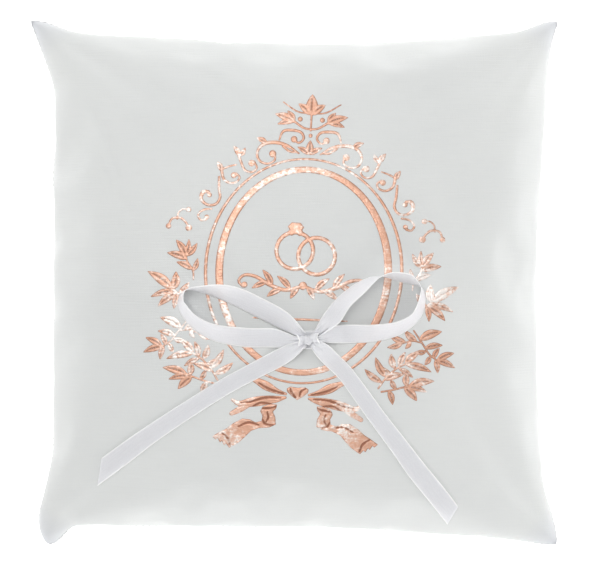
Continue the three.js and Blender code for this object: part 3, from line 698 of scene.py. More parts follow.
@dataclass
class Cushion:
    """Two square satin panels sewn round their edge, turned, filled and sewn shut."""

    cut: float = 200.0  # side of a panel between its seams, mm
    cells: int = 72  # cloth cells along a side
    frames: int = 18
    push: float = 6.0  # pressure of the filling
    sides: dict[str, Sequence[tuple[float, float]]] = field(
        default_factory=lambda: {  # place along the side, distance from the middle in mm
            "left": (
                (-1, 93.5), (-0.95, 95.9), (-0.86, 95.6), (-0.76, 92.9), (-0.66, 90.5),
                (-0.4, 89.9), (0, 89.8), (0.4, 89.9), (0.7, 89.7), (0.76, 90.5), (0.88, 95.2),
                (1, 99.7),
            ),
            "right": (
                (-1, 99.3), (-0.94, 98.1), (-0.83, 95.1), (-0.72, 92.7), (-0.4, 90.7),
                (0, 90.5), (0.35, 91.7), (0.62, 93.7), (0.82, 95.3), (0.92, 97.1), (1, 99.3),
            ),
            "top": (
                (-1, 99.0), (-0.95, 99.2), (-0.85, 94.9), (-0.75, 93.1), (-0.58, 92.1),
                (-0.3, 90.5), (0, 89.7), (0.3, 90.3), (0.62, 92.3), (0.85, 94.3),
                (0.95, 98.4), (1, 99.0),
            ),
            "bottom": (
                (-1, 96.9), (-0.965, 99.3), (-0.93, 96.9), (-0.885, 90.6), (-0.8, 89.6),
                (-0.58, 90.7), (-0.2, 90.9), (0, 90.7), (0.3, 91.7), (0.65, 94.1),
                (0.8, 95.7), (0.95, 98.2), (1, 97.7),
            ),
        }
    )
    tucks: Sequence[tuple[str, float, float, float]] = (
        ("bottom", -0.86, 2.9, 14.0),  # side, place along it, depth and length in mm
        ("left", 0.73, 2.4, 14.0),
        ("right", 0.55, 0.8, 10.0),
        ("top", -0.8, 0.7, 10.0),
        ("bottom", 0.5, 0.6, 9.0),
    )
    drop: float = 31.0  # seam to the lowest point of the back, before it rests, mm
    fullness: float = 0.44  # the smaller, the steeper the panels rise from the seam
    calm: float = 0.05  # share of the folds that stays in the middle
    folds: float = 0.4  # share of the folds that stays at the edges
    mid_half: float = 89.0  # middle of the front to the middle of a side, mm
    edge_power: int = 9  # the larger, the closer to the seam the outline's own shape stays
    blur_sides: float = 5.0  # evening of the outline away from the seam, cells
    blur_folds: float = 3.0  # wider folds than this many cells are evened out
    gathers: Sequence[tuple[float, float]] = ((5.7, 0.5), (8.9, 0.8), (14.3, 1.0), (23.0, 0.9))
    gather_depth: float = 0.24  # depth of the gathers beside the seam, mm
    rounding: float = 2.4  # how softly the back turns onto the table, mm
    groove: float = 1.0  # depth of the seam between the panels, mm
    cloth: float = 0.45  # thickness of the satin, mm
    opening: tuple[float, float] = (-0.82, -0.44)  # turning opening along the bottom side
    satin: CushionSatin = CushionSatin()
    thread: SewingThread = SewingThread()
    filling: FibreFilling = FibreFilling()

    def __post_init__(self) -> None:
        """Numbers the cloth's points: both panels share those on the seam."""
        n = self.cells
        self.front_ids = np.arange((n + 1) ** 2).reshape(n + 1, n + 1)
        self.back_ids = self.front_ids.copy()
        inner = (n - 1) ** 2
        first = (n + 1) ** 2
        self.back_ids[1:n, 1:n] = np.arange(first, first + inner).reshape(n - 1, n - 1)
        t = np.linspace(-1, 1, n + 1)
        self.u, self.v = np.meshgrid(t, t)

    def _quads(self, ids: np.ndarray, turned: bool) -> list[tuple[int, ...]]:
        """Faces over a grid of points.

        Args:
            ids: the points' numbers.
            turned: True faces them downwards.

        Returns:
            The faces.
        """
        a, b = ids[:-1, :-1].ravel(), ids[:-1, 1:].ravel()
        c, d = ids[1:, 1:].ravel(), ids[1:, :-1].ravel()
        order = (d, c, b, a) if turned else (a, b, c, d)
        return list(zip(*(o.tolist() for o in order)))

    def _flat(self) -> np.ndarray:
        """The sewn panels before filling, slightly parted and creased.

        Returns:
            The points in metres.
        """
        half = self.cut / 2
        dome = np.sqrt(np.maximum((1 - self.u**2) * (1 - self.v**2), 0))
        rng = np.random.default_rng(41)
        soft = np.zeros_like(dome)
        for _ in range(26):
            fx, fy = rng.uniform(-9, 9, 2)
            soft += np.sin(fx * self.u * 3 + fy * self.v * 3 + rng.uniform(0, 6.3))
        soft *= 0.16 * np.minimum(dome * 3, 1)
        points = np.zeros((self.back_ids.max() + 1, 3))
        for ids, sign in ((self.back_ids, -1), (self.front_ids, 1)):
            rise = sign * (9.0 * dome + 0.5 * soft)
            points[ids] = np.stack([self.u * half, self.v * half, rise], axis=-1)
        return points * MM

    def inflate(self) -> np.ndarray:
        """Fills the cloth by simulation.

        Returns:
            The points in mm, with the seam about z = 0.
        """
        start = self._flat()
        faces = self._quads(self.front_ids, False) + self._quads(self.back_ids, True)
        blank = bpy.data.materials.new("blank")
        cloth = mesh_piece("cloth", start, faces, blank)
        points = self._simulate(cloth) / MM
        bpy.data.objects.remove(cloth)
        bpy.data.materials.remove(blank)
        return points

    def _simulate(self, cloth: bpy.types.Object) -> np.ndarray:
        """Runs the cloth.

        Args:
            cloth: the sewn panels.

        Returns:
            The points in metres.
        """
        modifier = cloth.modifiers.new("fill", "CLOTH")
        s = modifier.settings
        s.quality = 6
        s.mass = 0.05
        s.tension_stiffness = s.compression_stiffness = 40
        s.shear_stiffness = 8
        s.bending_stiffness = 0.12
        s.air_damping = 2
        s.use_pressure = True
        s.uniform_pressure_force = self.push
        s.effector_weights.gravity = 0
        modifier.collision_settings.use_collision = False
        modifier.point_cache.frame_start = 1
        modifier.point_cache.frame_end = self.frames
        scene = bpy.context.scene
        scene.frame_start, scene.frame_end = 1, self.frames
        for number in range(1, self.frames + 1):
            scene.frame_set(number)
        settle(cloth)
        scene.frame_set(1)
        found = np.empty(len(cloth.data.vertices) * 3, np.float32)
        cloth.data.vertices.foreach_get("co", found)
        return found.reshape(-1, 3).astype(float)

    def _side_scales(self, grid: np.ndarray) -> dict[str, np.ndarray]:
        """How much each line of the cloth grows to meet the outline.

        Args:
            grid: the front panel's points, mm.

        Returns:
            The factors along each side.
        """
        n = self.cells
        t = self.u[0]
        found = {
            "left": grid[:, 0, 0], "right": grid[:, n, 0],
            "top": grid[n, :, 1], "bottom": grid[0, :, 1],
        }
        scales = {}
        for side, border in found.items():
            stops = np.array(self.sides[side])
            wanted = np.interp(t, stops[:, 0], stops[:, 1])
            wanted = blurred(np.tile(wanted, (3, 1)), 0.8)[1]
            natural = np.polynomial.Polynomial.fit(t, np.abs(border), 8)(t)
            scales[side] = wanted / natural
        return scales

    def shape(self, points: np.ndarray) -> np.ndarray:
        """Fits the filled cloth to the cushion's outline and rests it on its back.

        Args:
            points: the filled cloth, mm.

        Returns:
            The points, mm, with the table at z = 0.
        """
        n = self.cells
        p = points.copy()
        grid = points[self.front_ids]
        p[:, 2] -= np.mean(np.r_[grid[0, :, 2], grid[n, :, 2], grid[:, 0, 2], grid[:, n, 2]])
        scales = self._side_scales(grid)
        soft = {k: blurred(np.tile(v, (3, 1)), self.blur_sides)[1] for k, v in scales.items()}
        rows, columns = np.indices(self.u.shape)
        for ids in (self.front_ids, self.back_ids):
            g = points[ids]
            for axis, place, line, names in (
                (0, self.u, rows, ("left", "right")),
                (1, self.v, columns, ("bottom", "top")),
            ):
                side = np.where(place < 0, soft[names[0]][line], soft[names[1]][line])
                sharp = np.where(place < 0, scales[names[0]][line], scales[names[1]][line])
                near = np.abs(place) ** self.edge_power
                p[ids, axis] = g[..., axis] * (side + (sharp - side) * near)
        self._calm(p)
        self._pucker(p)
        self._tuck(p)
        self._rest(p)
        return p

    def _tuck(self, p: np.ndarray) -> None:
        """Presses short creases into the panels at the seam.

        Args:
            p: the points, mm, changed in place.
        """
        half = self.cut / 2
        for side, place, deep, long in self.tucks:
            across, inward = {
                "left": (self.v - place, 1 + self.u), "right": (self.v - place, 1 - self.u),
                "top": (self.u - place, 1 - self.v), "bottom": (self.u - place, 1 + self.v),
            }[side]
            across, inward = across * half, inward * half
            slant = across - 0.25 * inward * np.sign(place)
            hollow = np.exp(-((slant / (1.6 + 0.16 * inward)) ** 2)) * (1 - eased(inward / long))
            ridge = np.exp(-(((slant - 4.2) / 3.2) ** 2)) * (1 - eased(inward / long))
            press = deep * (hollow - 0.45 * ridge)
            inner = inward > 1.0
            for ids, sign in ((self.front_ids, -1), (self.back_ids, 1)):
                p[ids[inner], 2] += sign * press[inner]

    def _calm(self, p: np.ndarray) -> None:
        """Evens the panels out to their crowns and keeps the folds near the edges.

        Args:
            p: the points, mm, changed in place.
        """
        n = self.cells
        dome = np.maximum((1 - self.u**2) * (1 - self.v**2), 0) ** self.fullness
        knot = np.array(KNOT_AT) / self.mid_half
        under_knot = ((1 - knot[0] ** 2) * (1 - knot[1] ** 2)) ** self.fullness
        rise = (KNOT_LEVEL - SEAM_LEVEL) / under_knot
        edge = np.maximum(np.abs(self.u), np.abs(self.v))
        keep = self.calm + (self.folds - self.calm) * eased((edge - 0.4) / 0.5)
        for ids, crown in ((self.front_ids, rise), (self.back_ids, -self.drop)):
            found = p[ids][..., 2]
            found = found * (crown / found[n // 2, n // 2])
            gap = found - crown * dome
            rim = np.zeros_like(edge)
            rim[0, :] = rim[n, :] = rim[:, 0] = rim[:, n] = 1
            level = crown * dome + keep * (gap - blurred(gap, self.blur_folds))
            inner = rim < 1
            p[ids[inner], 2] = level[inner]

    def _pucker(self, p: np.ndarray) -> None:
        """Draws in the seam and gathers the cloth beside it.

        Args:
            p: the points, mm, changed in place.
        """
        n = self.cells
        rng = np.random.default_rng(12)
        step = self.cut / n
        for side in range(4):
            for back in (False, True):
                ids = self.back_ids if back else self.front_ids
                along = np.linspace(-1, 1, n + 1) * self.cut / 2
                gather = np.zeros(n + 1)
                for wave, strength in self.gathers:
                    gather += strength * np.sin(along * 6.283 / wave + rng.uniform(0, 6.3))
                gather *= 0.75 + 0.5 * np.sin(along / 21.0 + rng.uniform(0, 6.3))
                for ring in range(1, 7):
                    fade = math.exp(-((ring * step - step) / 6.5))
                    line = (ids[:, ring], ids[:, n - ring], ids[n - ring, :], ids[ring, :])[side]
                    keep = slice(ring, n - ring + 1)
                    sign = -1 if back else 1
                    p[line[keep], 2] += sign * self.gather_depth * fade * gather[keep]
        for line, axis, sign in (
            (self.front_ids[:, 0], 0, 1),
            (self.front_ids[:, n], 0, -1),
            (self.front_ids[n, :], 1, -1),
            (self.front_ids[0, :], 1, 1),
        ):
            p[line, axis] += sign * self.groove

    def _rest(self, p: np.ndarray) -> None:
        """Stands the cushion on its back, flattened where it rests.

        Args:
            p: the points, mm, changed in place.
        """
        p[:, 2] += SEAM_LEVEL
        p[:, 2] = 0.5 * (p[:, 2] + np.sqrt(p[:, 2] ** 2 + self.rounding**2))
        p[:, 2] -= p[:, 2].min()

    def _panel(self, name: str, p: np.ndarray, back: bool) -> bpy.types.Object:
        """One panel, subdivided and given its thickness.

        Args:
            name: the piece's name.
            p: the points, mm.
            back: True for the back panel.

        Returns:
            The panel.
        """
        ids = self.back_ids if back else self.front_ids
        n = self.cells
        own = np.arange((n + 1) ** 2).reshape(n + 1, n + 1)
        half = self.cut / 2
        lay = np.stack([self.u * half, self.v * half, np.zeros_like(self.u)], axis=-1)
        piece = mesh_piece(
            name,
            p[ids].reshape(-1, 3) * MM,
            self._quads(own, back),
            made_once(self.satin),
            lay.reshape(-1, 3),
        )
        smooth = piece.modifiers.new("smooth", "SUBSURF")
        smooth.levels = smooth.render_levels = 1
        thick = piece.modifiers.new("cloth", "SOLIDIFY")
        thick.thickness = self.cloth * MM
        thick.offset = -1
        return settle(piece)

    def _core(self, p: np.ndarray) -> bpy.types.Object:
        """The filling, a little inside the panels.

        Args:
            p: the points, mm.

        Returns:
            The filling.
        """
        middle = np.array([0.0, 0.0, SEAM_LEVEL])
        q = middle + (p - middle) * np.array([0.955, 0.955, 0.93])
        rng = np.random.default_rng(5)
        q += rng.normal(0, 0.25, q.shape)
        faces = self._quads(self.front_ids, False) + self._quads(self.back_ids, True)
        return mesh_piece("filling", q * MM, faces, self.filling.material())

    def _seam_points(self, p: np.ndarray) -> tuple[np.ndarray, np.ndarray]:
        """Points once round the seam.

        Args:
            p: the points, mm.

        Returns:
            The points from the end of the turning opening, and their place along the bottom
            side, or 9 elsewhere.
        """
        ids, n = self.front_ids, self.cells
        loop = np.r_[ids[0, :n], ids[:n, n], ids[n, n:0:-1], ids[n:0:-1, 0]]
        place = np.full(len(loop), 9.0)
        place[:n] = self.u[0, :n]
        start = int(np.searchsorted(self.u[0, :n], self.opening[1]))
        return np.roll(p[loop], -start, axis=0), np.roll(place, -start)

    def _stitches(self, name: str, path: np.ndarray, long: float, gap: float, radius: float,
                  sway: float) -> bpy.types.Object:
        """A row of stitches along a path.

        Args:
            name: the piece's name.
            path: the points to follow, mm.
            long: length of a stitch, mm.
            gap: gap between stitches, mm.
            radius: the thread's radius, mm.
            sway: how far a stitch slants up and down, mm.

        Returns:
            The stitches.
        """
        run = np.r_[0, np.cumsum(np.linalg.norm(np.diff(path, axis=0), axis=1))]
        points: list[np.ndarray] = []
        faces: list[tuple[int, ...]] = []
        rings, sides = 5, 6
        at = 0.0
        turn = 1
        while at + long < run[-1]:
            places = at + long * np.linspace(0, 1, rings)
            line = np.stack([np.interp(places, run, c) for c in path.T], axis=1)
            along = unit(line[-1] - line[0])
            side = unit(np.cross(along, [0, 0, 1.0]))
            top = np.cross(side, along)
            for k, centre in enumerate(line):
                arch = math.sin(math.pi * k / (rings - 1))
                r = radius * (0.55 + 0.45 * arch)
                lift = sway * turn * (k / (rings - 1) - 0.5)
                for m in range(sides):
                    a = 2 * math.pi * m / sides
                    out = side * math.cos(a) + top * math.sin(a)
                    points.append(centre + out * r + top * lift + side * (0.22 * arch))
            base = len(points) - rings * sides
            for k in range(rings - 1):
                for m in range(sides):
                    a0, b0 = base + k * sides + m, base + k * sides + (m + 1) % sides
                    faces.append((a0, a0 + sides, b0 + sides, b0))
            faces.append(tuple(base + m for m in range(sides)))
            faces.append(tuple(base + (rings - 1) * sides + m for m in reversed(range(sides))))
            at += long + gap
            turn = -turn
        finish = made_once(self.thread)
        return mesh_piece(name, np.array(points) * MM, faces, finish)

    def build(self) -> Front:
        """Makes every piece of the cushion.

        Returns:
            The front panel as a surface.
        """
        p = self.shape(self.inflate())
        front = self._panel("front_panel", p, False)
        back = self._panel("back_panel", p, True)
        core = self._core(p)
        loop, place = self._seam_points(p)
        shut = (place > self.opening[0]) & (place < self.opening[1])
        inward = np.array([1 - 0.25 / 90, 1 - 0.25 / 90, 1.0])
        seam = self._stitches("seam_stitches", loop[~shut] * inward, 2.0, 0.45, 0.15, 0.0)
        ladder = self._stitches("closing_stitches", loop[shut] * inward, 1.5, 0.9, 0.17, 0.9)
        for piece, node, slot in (
            (front, "front_cover", "satin"),
            (back, "back_cover", "satin"),
            (core, "fibre_fill", "fibre"),
            (seam, "perimeter_seam_thread", "thread"),
            (ladder, "closing_seam_thread", "thread"),
        ):
            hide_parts(node)
            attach(piece, CUSHION_BODY)
            log.info("%s: %d faces", piece.name, len(piece.data.polygons))
        return Front(front)


# ---------------------------------------------------------------- ribbon


@dataclass
class RibbonStrip:
    """A run of ribbon as cross sections, all in mm."""

    name: str
    sections: np.ndarray  # steps x points across x 3
    out: np.ndarray  # outward direction at each of those points
    along: np.ndarray  # how far along the ribbon each step is
    thickness: float = 0.24
    finish: RibbonSatin = RibbonSatin()

    def build(self) -> bpy.types.Object:
        """Makes the closed strip, with its edges a little thicker.

        Returns:
            The strip.
        """
        steps, count = self.sections.shape[:2]
        a = np.linspace(-1, 1, count)
        edge = 0.5 + 0.32 * np.exp(-(((np.abs(a) - 0.96) / 0.05) ** 2))
        edge[[0, -1]] = 0.3
        offset = self.out * (self.thickness * edge)[None, :, None]
        points = np.concatenate([self.sections + offset, self.sections - offset])
        lay = np.zeros((2 * steps, count, 3))
        lay[..., 0] = a * RIBBON_WIDTH / 2
        lay[..., 1] = np.tile(self.along, 2)[:, None]
        ids = np.arange(2 * steps * count).reshape(2 * steps, count)
        top, low = ids[:steps], ids[steps:]
        faces: list[tuple[int, ...]] = []
        for i in range(steps - 1):
            for k in range(count - 1):
                faces.append((top[i, k], top[i, k + 1], top[i + 1, k + 1], top[i + 1, k]))
                faces.append((low[i + 1, k], low[i + 1, k + 1], low[i, k + 1], low[i, k]))
            for k in (0, count - 1):
                quad = (top[i, k], top[i + 1, k], low[i + 1, k], low[i, k])
                faces.append(quad if k == 0 else quad[::-1])
        for i in (0, steps - 1):
            for k in range(count - 1):
                quad = (top[i, k + 1], top[i, k], low[i, k], low[i, k + 1])
                faces.append(quad if i == 0 else quad[::-1])
        finish = made_once(self.finish)
        return mesh_piece(
            self.name, points.reshape(-1, 3) * MM, faces, finish, lay.reshape(-1, 3)
        )


@dataclass
class Limb:
    """What every loop and tail of the bow shares."""

    front: Front
    across: int = 17  # points across the ribbon
    lift: float = 2.4  # how far the ribbon rises into the knot, mm
    reach: float = 13.0  # how far from the knot that rise starts, mm

    def rise(self, plan: np.ndarray, extra: float = 0.0) -> np.ndarray:
        """How far over the panel the ribbon runs near the knot.

        Args:
            plan: plan positions, mm.
            extra: more rise at the knot, mm.

        Returns:
            Heights, mm.
        """
        away = np.hypot(plan[..., 0] - KNOT_AT[0], plan[..., 1] - KNOT_AT[1])
        return 0.35 + (self.lift + extra) * (1 - eased((away - 2.0) / self.reach))

    def pleats(self, half: np.ndarray, seed: int) -> np.ndarray:
        """Depth of the pleats that narrow the ribbon.

        Args:
            half: half the width at each step, mm.
            seed: which pleats.

        Returns:
            Offsets along the outward direction, steps x points across, mm.
        """
        a = np.linspace(-1, 1, self.across)[None, :]
        narrow = (1 - half / (RIBBON_WIDTH / 2))[:, None]
        phase = 0.9 * seed
        wave = np.cos(a * math.pi * 2.3 + phase) + 0.35 * np.cos(a * math.pi * 4.1 - phase)
        return 0.72 * np.clip((narrow - 0.2) / 0.8, 0, 1) ** 0.8 * wave

    @staticmethod
    def declare(piece: bpy.types.Object, sections: np.ndarray, far_end: str) -> None:
        """Finds the middle line of a strip of ribbon, and does nothing more with it.

        Args:
            piece: the strip; not used.
            sections: its points, steps x points across x 3, mm.
            far_end: what its end away from the knot is; not used.
        """
        line = sections[:, sections.shape[1] // 2] * MM


@dataclass
class BowLoop(Limb):
    """One loop, from the knot out, round and back to it."""

    side: Side = Side.LEFT
    stations: Sequence[Sequence[float]] = ()  # resting edge x, y, lean in degrees, half width
    curl: float = 9.0  # how much more the free edge leans, degrees

    def build(self) -> bpy.types.Object:
        """Makes the loop.

        Returns:
            The loop.
        """
        steps = 120
        path = rounded(self.stations, steps)
        plan, lean, half = path[:, :2], path[:, 2], np.clip(path[:, 3], 0.8, RIBBON_WIDTH / 2)
        ahead = np.gradient(plan, axis=0)
        along = unit(np.c_[ahead, np.zeros(len(ahead))])
        inward = -1.0 if self.side is Side.LEFT else 1.0
        side = np.stack([-along[:, 1] * inward, along[:, 0] * inward, 0 * lean], axis=1)
        up = np.array([0.0, 0.0, 1.0])
        base = np.c_[plan, self.front.levels(plan) + self.rise(plan)]
        a = np.linspace(0, 1, self.across)
        sections = np.zeros((steps + 1, self.across, 3))
        out = np.zeros_like(sections)
        place = base.copy()
        run = np.r_[0, np.cumsum(np.linalg.norm(np.diff(plan, axis=0), axis=1))]
        sway = 2.2 * np.sin(run / 7.7 + 0.8) + 1.4 * np.sin(run / 3.9)
        for k in range(self.across):
            tilt = np.radians(lean + np.sign(lean) * self.curl * (a[k] - 0.5) + sway * a[k])
            width = up * np.cos(tilt)[:, None] + side * np.sin(tilt)[:, None]
            if k:
                place = place + width * (2 * half * (a[k] - a[k - 1]))[:, None]
            sections[:, k] = place
            out[:, k] = unit(np.cross(width, along)) * inward
        sections += out * self.pleats(half, 1 + self.side.value)[:, :, None]
        piece = RibbonStrip(f"bow_loop_strip_{self.side.label}", sections, out, run).build()
        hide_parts(f"bow_loop_{self.side.label}")
        self.declare(piece, sections, "object")
        log.info("%s: %.0f mm of ribbon", piece.name, run[-1])
        return piece


@dataclass
class BowTail(Limb):
    """One free end, lying on the front panel."""

    side: Side = Side.LEFT
    stations: Sequence[Sequence[float]] = ()  # middle x, y and half width
    skew: float = 7.0  # how slanted the end is cut, mm

    def build(self) -> bpy.types.Object:
        """Makes the tail.

        Returns:
            The tail.
        """
        steps = 110
        path = rounded(self.stations, steps)
        plan, half = path[:, :2], np.clip(path[:, 2], 0.8, RIBBON_WIDTH / 2)
        run = np.r_[0, np.cumsum(np.linalg.norm(np.diff(plan, axis=0), axis=1))]
        ahead = unit(np.gradient(plan, axis=0))
        a = np.linspace(-1, 1, self.across)
        cut = (self.skew / 2) * eased((run / run[-1] - 0.7) / 0.3)
        sections = np.zeros((steps + 1, self.across, 3))
        out = np.zeros_like(sections)
        for i in range(steps + 1):
            normal = self.front.slope(*plan[i])
            along = unit(np.array([ahead[i, 0], ahead[i, 1], 0.0]))
            width = unit(np.cross(normal, along))
            shift = width * half[i] - along * cut[i]
            for k in range(self.across):
                at = np.array([plan[i, 0], plan[i, 1], 0.0]) + shift * a[k]
                sections[i, k] = (at[0], at[1], 0.0)
                out[i, k] = normal
        flat = sections.reshape(-1, 3)
        flat[:, 2] = self.front.levels(flat) + self.rise(flat, 0.9)
        sections = flat.reshape(sections.shape)
        ripple = 0.16 * np.sin(run / 4.3 + 1.0)[:, None] * (0.5 + 0.5 * a[None, :])
        ripple = ripple + 0.12 * np.sin(run / 9.0)[:, None] * (0.5 - 0.5 * a[None, :])
        cup = 0.16 * (1 - a[None, :] ** 2) * np.clip(run / 20, 0, 1)[:, None]
        relief = self.pleats(half, 3 + self.side.value) + np.abs(ripple) + cup
        sections[..., 2] += relief
        piece = RibbonStrip(f"ribbon_tail_strip_{self.side.label}", sections, out, run).build()
        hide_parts(f"ribbon_tail_{self.side.label}")
        self.declare(piece, sections, "bare")
        log.info("%s: %.0f mm of ribbon", piece.name, run[-1])
        return piece


@dataclass
class Knot:
    """The wrap of ribbon that holds the bow, and the stretch of ribbon under it."""

    front: Front
    half: float = 4.1  # half the wrap's width, mm
    turn: float = 8.0  # degrees the wrap is turned in plan

    def wrap(self) -> bpy.types.Object:
        """Makes the wrap.

        Returns:
            The wrap.
        """
        steps, count = 44, 25
        a = np.linspace(-1, 1, count)[None, :]
        phi = np.radians(np.linspace(-28, 208, steps + 1))[:, None]
        radius = 1.45 + 0.35 * np.abs(a) ** 2 + 0.22 * np.cos(a * 7.0 + phi * 0.8)
        radius = radius + 0.14 * np.cos(a * 15.0 - phi * 1.7)
        x = self.half * a * (0.82 + 0.18 * np.abs(np.cos(phi))) + 0 * phi
        y = -radius * np.cos(phi) * 1.05 + 0.5 * a**2
        z = radius * np.sin(phi) * 1.1 + 0 * a
        c, s = math.cos(math.radians(self.turn)), math.sin(math.radians(self.turn))
        level = self.front.level(*KNOT_AT) + 3.0
        sections = np.stack(
            [KNOT_AT[0] + c * x - s * y, KNOT_AT[1] + s * x + c * y, level + z], axis=-1
        )
        du, dv = np.gradient(sections, axis=(0, 1))
        out = unit(np.cross(dv, du))
        middle = np.array([KNOT_AT[0], KNOT_AT[1], level])
        if np.sum(out * (sections - middle)) < 0:
            out = -out
        run = np.linspace(0, 14, steps + 1)
        piece = RibbonStrip("knot_wrap", sections, out, run).build()
        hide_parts("bow_knot")
        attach(piece, CUSHION_BODY)
        return piece

    def under(self) -> bpy.types.Object:
        """Makes the stretch of ribbon that lies on the panel under the knot.

        Returns:
            The ribbon.
        """
        steps, count = 16, 17
        x = KNOT_AT[0] + np.linspace(-4.6, 4.6, steps + 1)
        a = np.linspace(-1, 1, count)
        plan = np.stack(np.meshgrid(x, KNOT_AT[1] + 3.4 * a, indexing="ij"), axis=-1)
        flat = plan.reshape(-1, 2)
        level = self.front.levels(flat).reshape(steps + 1, count)
        level = level + 0.3 + 0.12 * np.cos(a * 9)[None, :]
        sections = np.concatenate([plan, level[..., None]], axis=-1)
        out = np.zeros_like(sections)
        out[..., 2] = 1.0
        piece = RibbonStrip("ribbon_under_knot", sections, out, x - x[0]).build()
        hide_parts("ribbon_centre")
        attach(piece, CUSHION_BODY)
        return piece


@dataclass
class Bow:
    """The tied ribbon."""

    front: Front
    bend: float = 11.0  # length of ribbon that bends when a loop or tail is lifted, mm

    def loops(self) -> list[BowLoop]:
        """The two loops.

        Returns:
            The loops.
        """
        left = [
            (4.2, -21.2, 73, 1.1), (0.6, -22.6, 73, 2.1), (-4, -23.2, 73, 3.2),
            (-9, -23.1, 73, 3.75), (-19, -22.8, 70, 3.75), (-31, -20, 52, 3.75),
            (-39.2, -13.8, 34, 3.75),
            (-42.4, -6.8, 20, 3.75), (-39.8, -2.4, 2, 3.75), (-33, -3.4, -22, 3.75),
            (-23, -7.4, -62, 3.75), (-12, -13, -73, 3.75), (-4.6, -16.6, -73, 3.4),
            (0.4, -18.6, -73, 2.2), (3.6, -19.7, -73, 1.1),
        ]
        right = [
            (6.4, -20.9, 73, 1.1), (9.6, -21.3, 73, 2.1), (13.6, -21.5, 73, 3.2),
            (21.5, -21.5, 66, 3.75), (30, -20.8, 56, 3.75), (39, -18.2, 42, 3.75),
            (45.4, -13, 30, 3.75), (47.6, -6.4, 21, 3.75), (46.4, -1.5, 4, 3.75),
            (42.4, -0.2, -25, 3.75), (38, 0.8, -27, 3.75),
            (33.6, 2.2, -12, 3.75), (29, 2.7, 15, 3.75), (23.5, 0.8, 36, 3.75),
            (16, -4.6, 49, 3.75), (10.6, -11, 70, 3.4), (8, -15.5, 73, 2.2),
            (6.3, -18.4, 73, 1.1),
        ]
        return [
            BowLoop(self.front, side=Side.LEFT, stations=left),
            BowLoop(self.front, side=Side.RIGHT, stations=right),
        ]

    def tails(self) -> list[BowTail]:
        """The two free ends.

        Returns:
            The tails.
        """
        left = [
            (3.9, -21.4, 1.2), (1.4, -22.8, 2.0), (-1.8, -24.7, 2.9), (-6.2, -27.2, 3.2),
            (-15, -31.8, 3.1), (-25, -37.2, 3.1), (-40, -46.6, 3.2), (-52.8, -55.2, 3.4),
            (-62, -62, 3.7), (-71.5, -69, 3.75),
        ]
        right = [
            (6.5, -21.4, 1.3), (8.2, -22.6, 2.3), (10.6, -24.6, 3.0), (14, -28, 3.1),
            (18.2, -32.2, 3.0), (24.3, -40.4, 3.1), (30.9, -49.6, 3.2), (37.9, -58.8, 3.4),
            (44.8, -68.2, 3.7), (52.5, -77.7, 3.75), (58.2, -85.1, 3.75),
        ]
        return [
            BowTail(self.front, side=Side.LEFT, stations=left, skew=-7.6),
            BowTail(self.front, side=Side.RIGHT, stations=right, skew=3.2),
        ]

    def _hang(self, piece: bpy.types.Object, body: str) -> None:
        """Finds the joint of the body that a piece stands for, and bakes the piece's place into its
        mesh; the piece does not bend.

        Args:
            piece: the loop or tail.
            body: the body whose joint is read; the piece is not attached to it.
        """
        joint = next(j for j in frame["joints"] if j["child"] == body)
        origin = Vector(joint["pos_m"])
        away = Vector((origin.x - KNOT_AT[0] * MM, origin.y - KNOT_AT[1] * MM, 0)).normalized()
        origin + away * ((self.bend - 2.5) * MM)
        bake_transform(piece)

    def build(self) -> None:
        """Makes the whole bow."""
        knot = Knot(self.front)
        for piece in (knot.under(), knot.wrap()):
            log.info("%s: %d faces", piece.name, len(piece.data.polygons))
        for loop in self.loops():
            self._hang(loop.build(), f"{loop.side.label}_loop")
        for tail in self.tails():
            self._hang(tail.build(), f"{tail.side.label}_tail")


# ---------------------------------------------------------------- foil


@dataclass(frozen=True)
class Mark:
    """A flat foil shape. Its depth is below 0 inside it and above 0 outside, in mm."""

    def box(self) -> tuple[float, float, float, float]:
        """Lowest x, lowest y, highest x and highest y."""
        raise NotImplementedError

    def depth(self, x: np.ndarray, y: np.ndarray) -> np.ndarray:
        """Signed distance to the shape's edge, roughly."""
        raise NotImplementedError


@dataclass(frozen=True)
class Stroke(Mark):
    """A line of changing width through points (x, y, width)."""

    points: tuple[tuple[float, float, float], ...]
    steps: int = 30

    def box(self) -> tuple[float, float, float, float]:
        """The stroke's box."""
        p = rounded(self.points, self.steps)
        m = p[:, 2].max() / 2 + 0.3
        return (p[:, 0].min() - m, p[:, 1].min() - m, p[:, 0].max() + m, p[:, 1].max() + m)

    def depth(self, x: np.ndarray, y: np.ndarray) -> np.ndarray:
        """Distance to the stroke's edge.

        Args:
            x: places.
            y: places.

        Returns:
            The depth at each place.
        """
        p = rounded(self.points, self.steps)
        best = np.full(x.shape, 1e3)
        for a, b in zip(p[:-1], p[1:]):
            dx, dy = b[0] - a[0], b[1] - a[1]
            t = np.clip(((x - a[0]) * dx + (y - a[1]) * dy) / (dx * dx + dy * dy + 1e-9), 0, 1)
            far = np.hypot(x - a[0] - t * dx, y - a[1] - t * dy)
            best = np.minimum(best, far - (a[2] + t * (b[2] - a[2])) / 2)
        return best


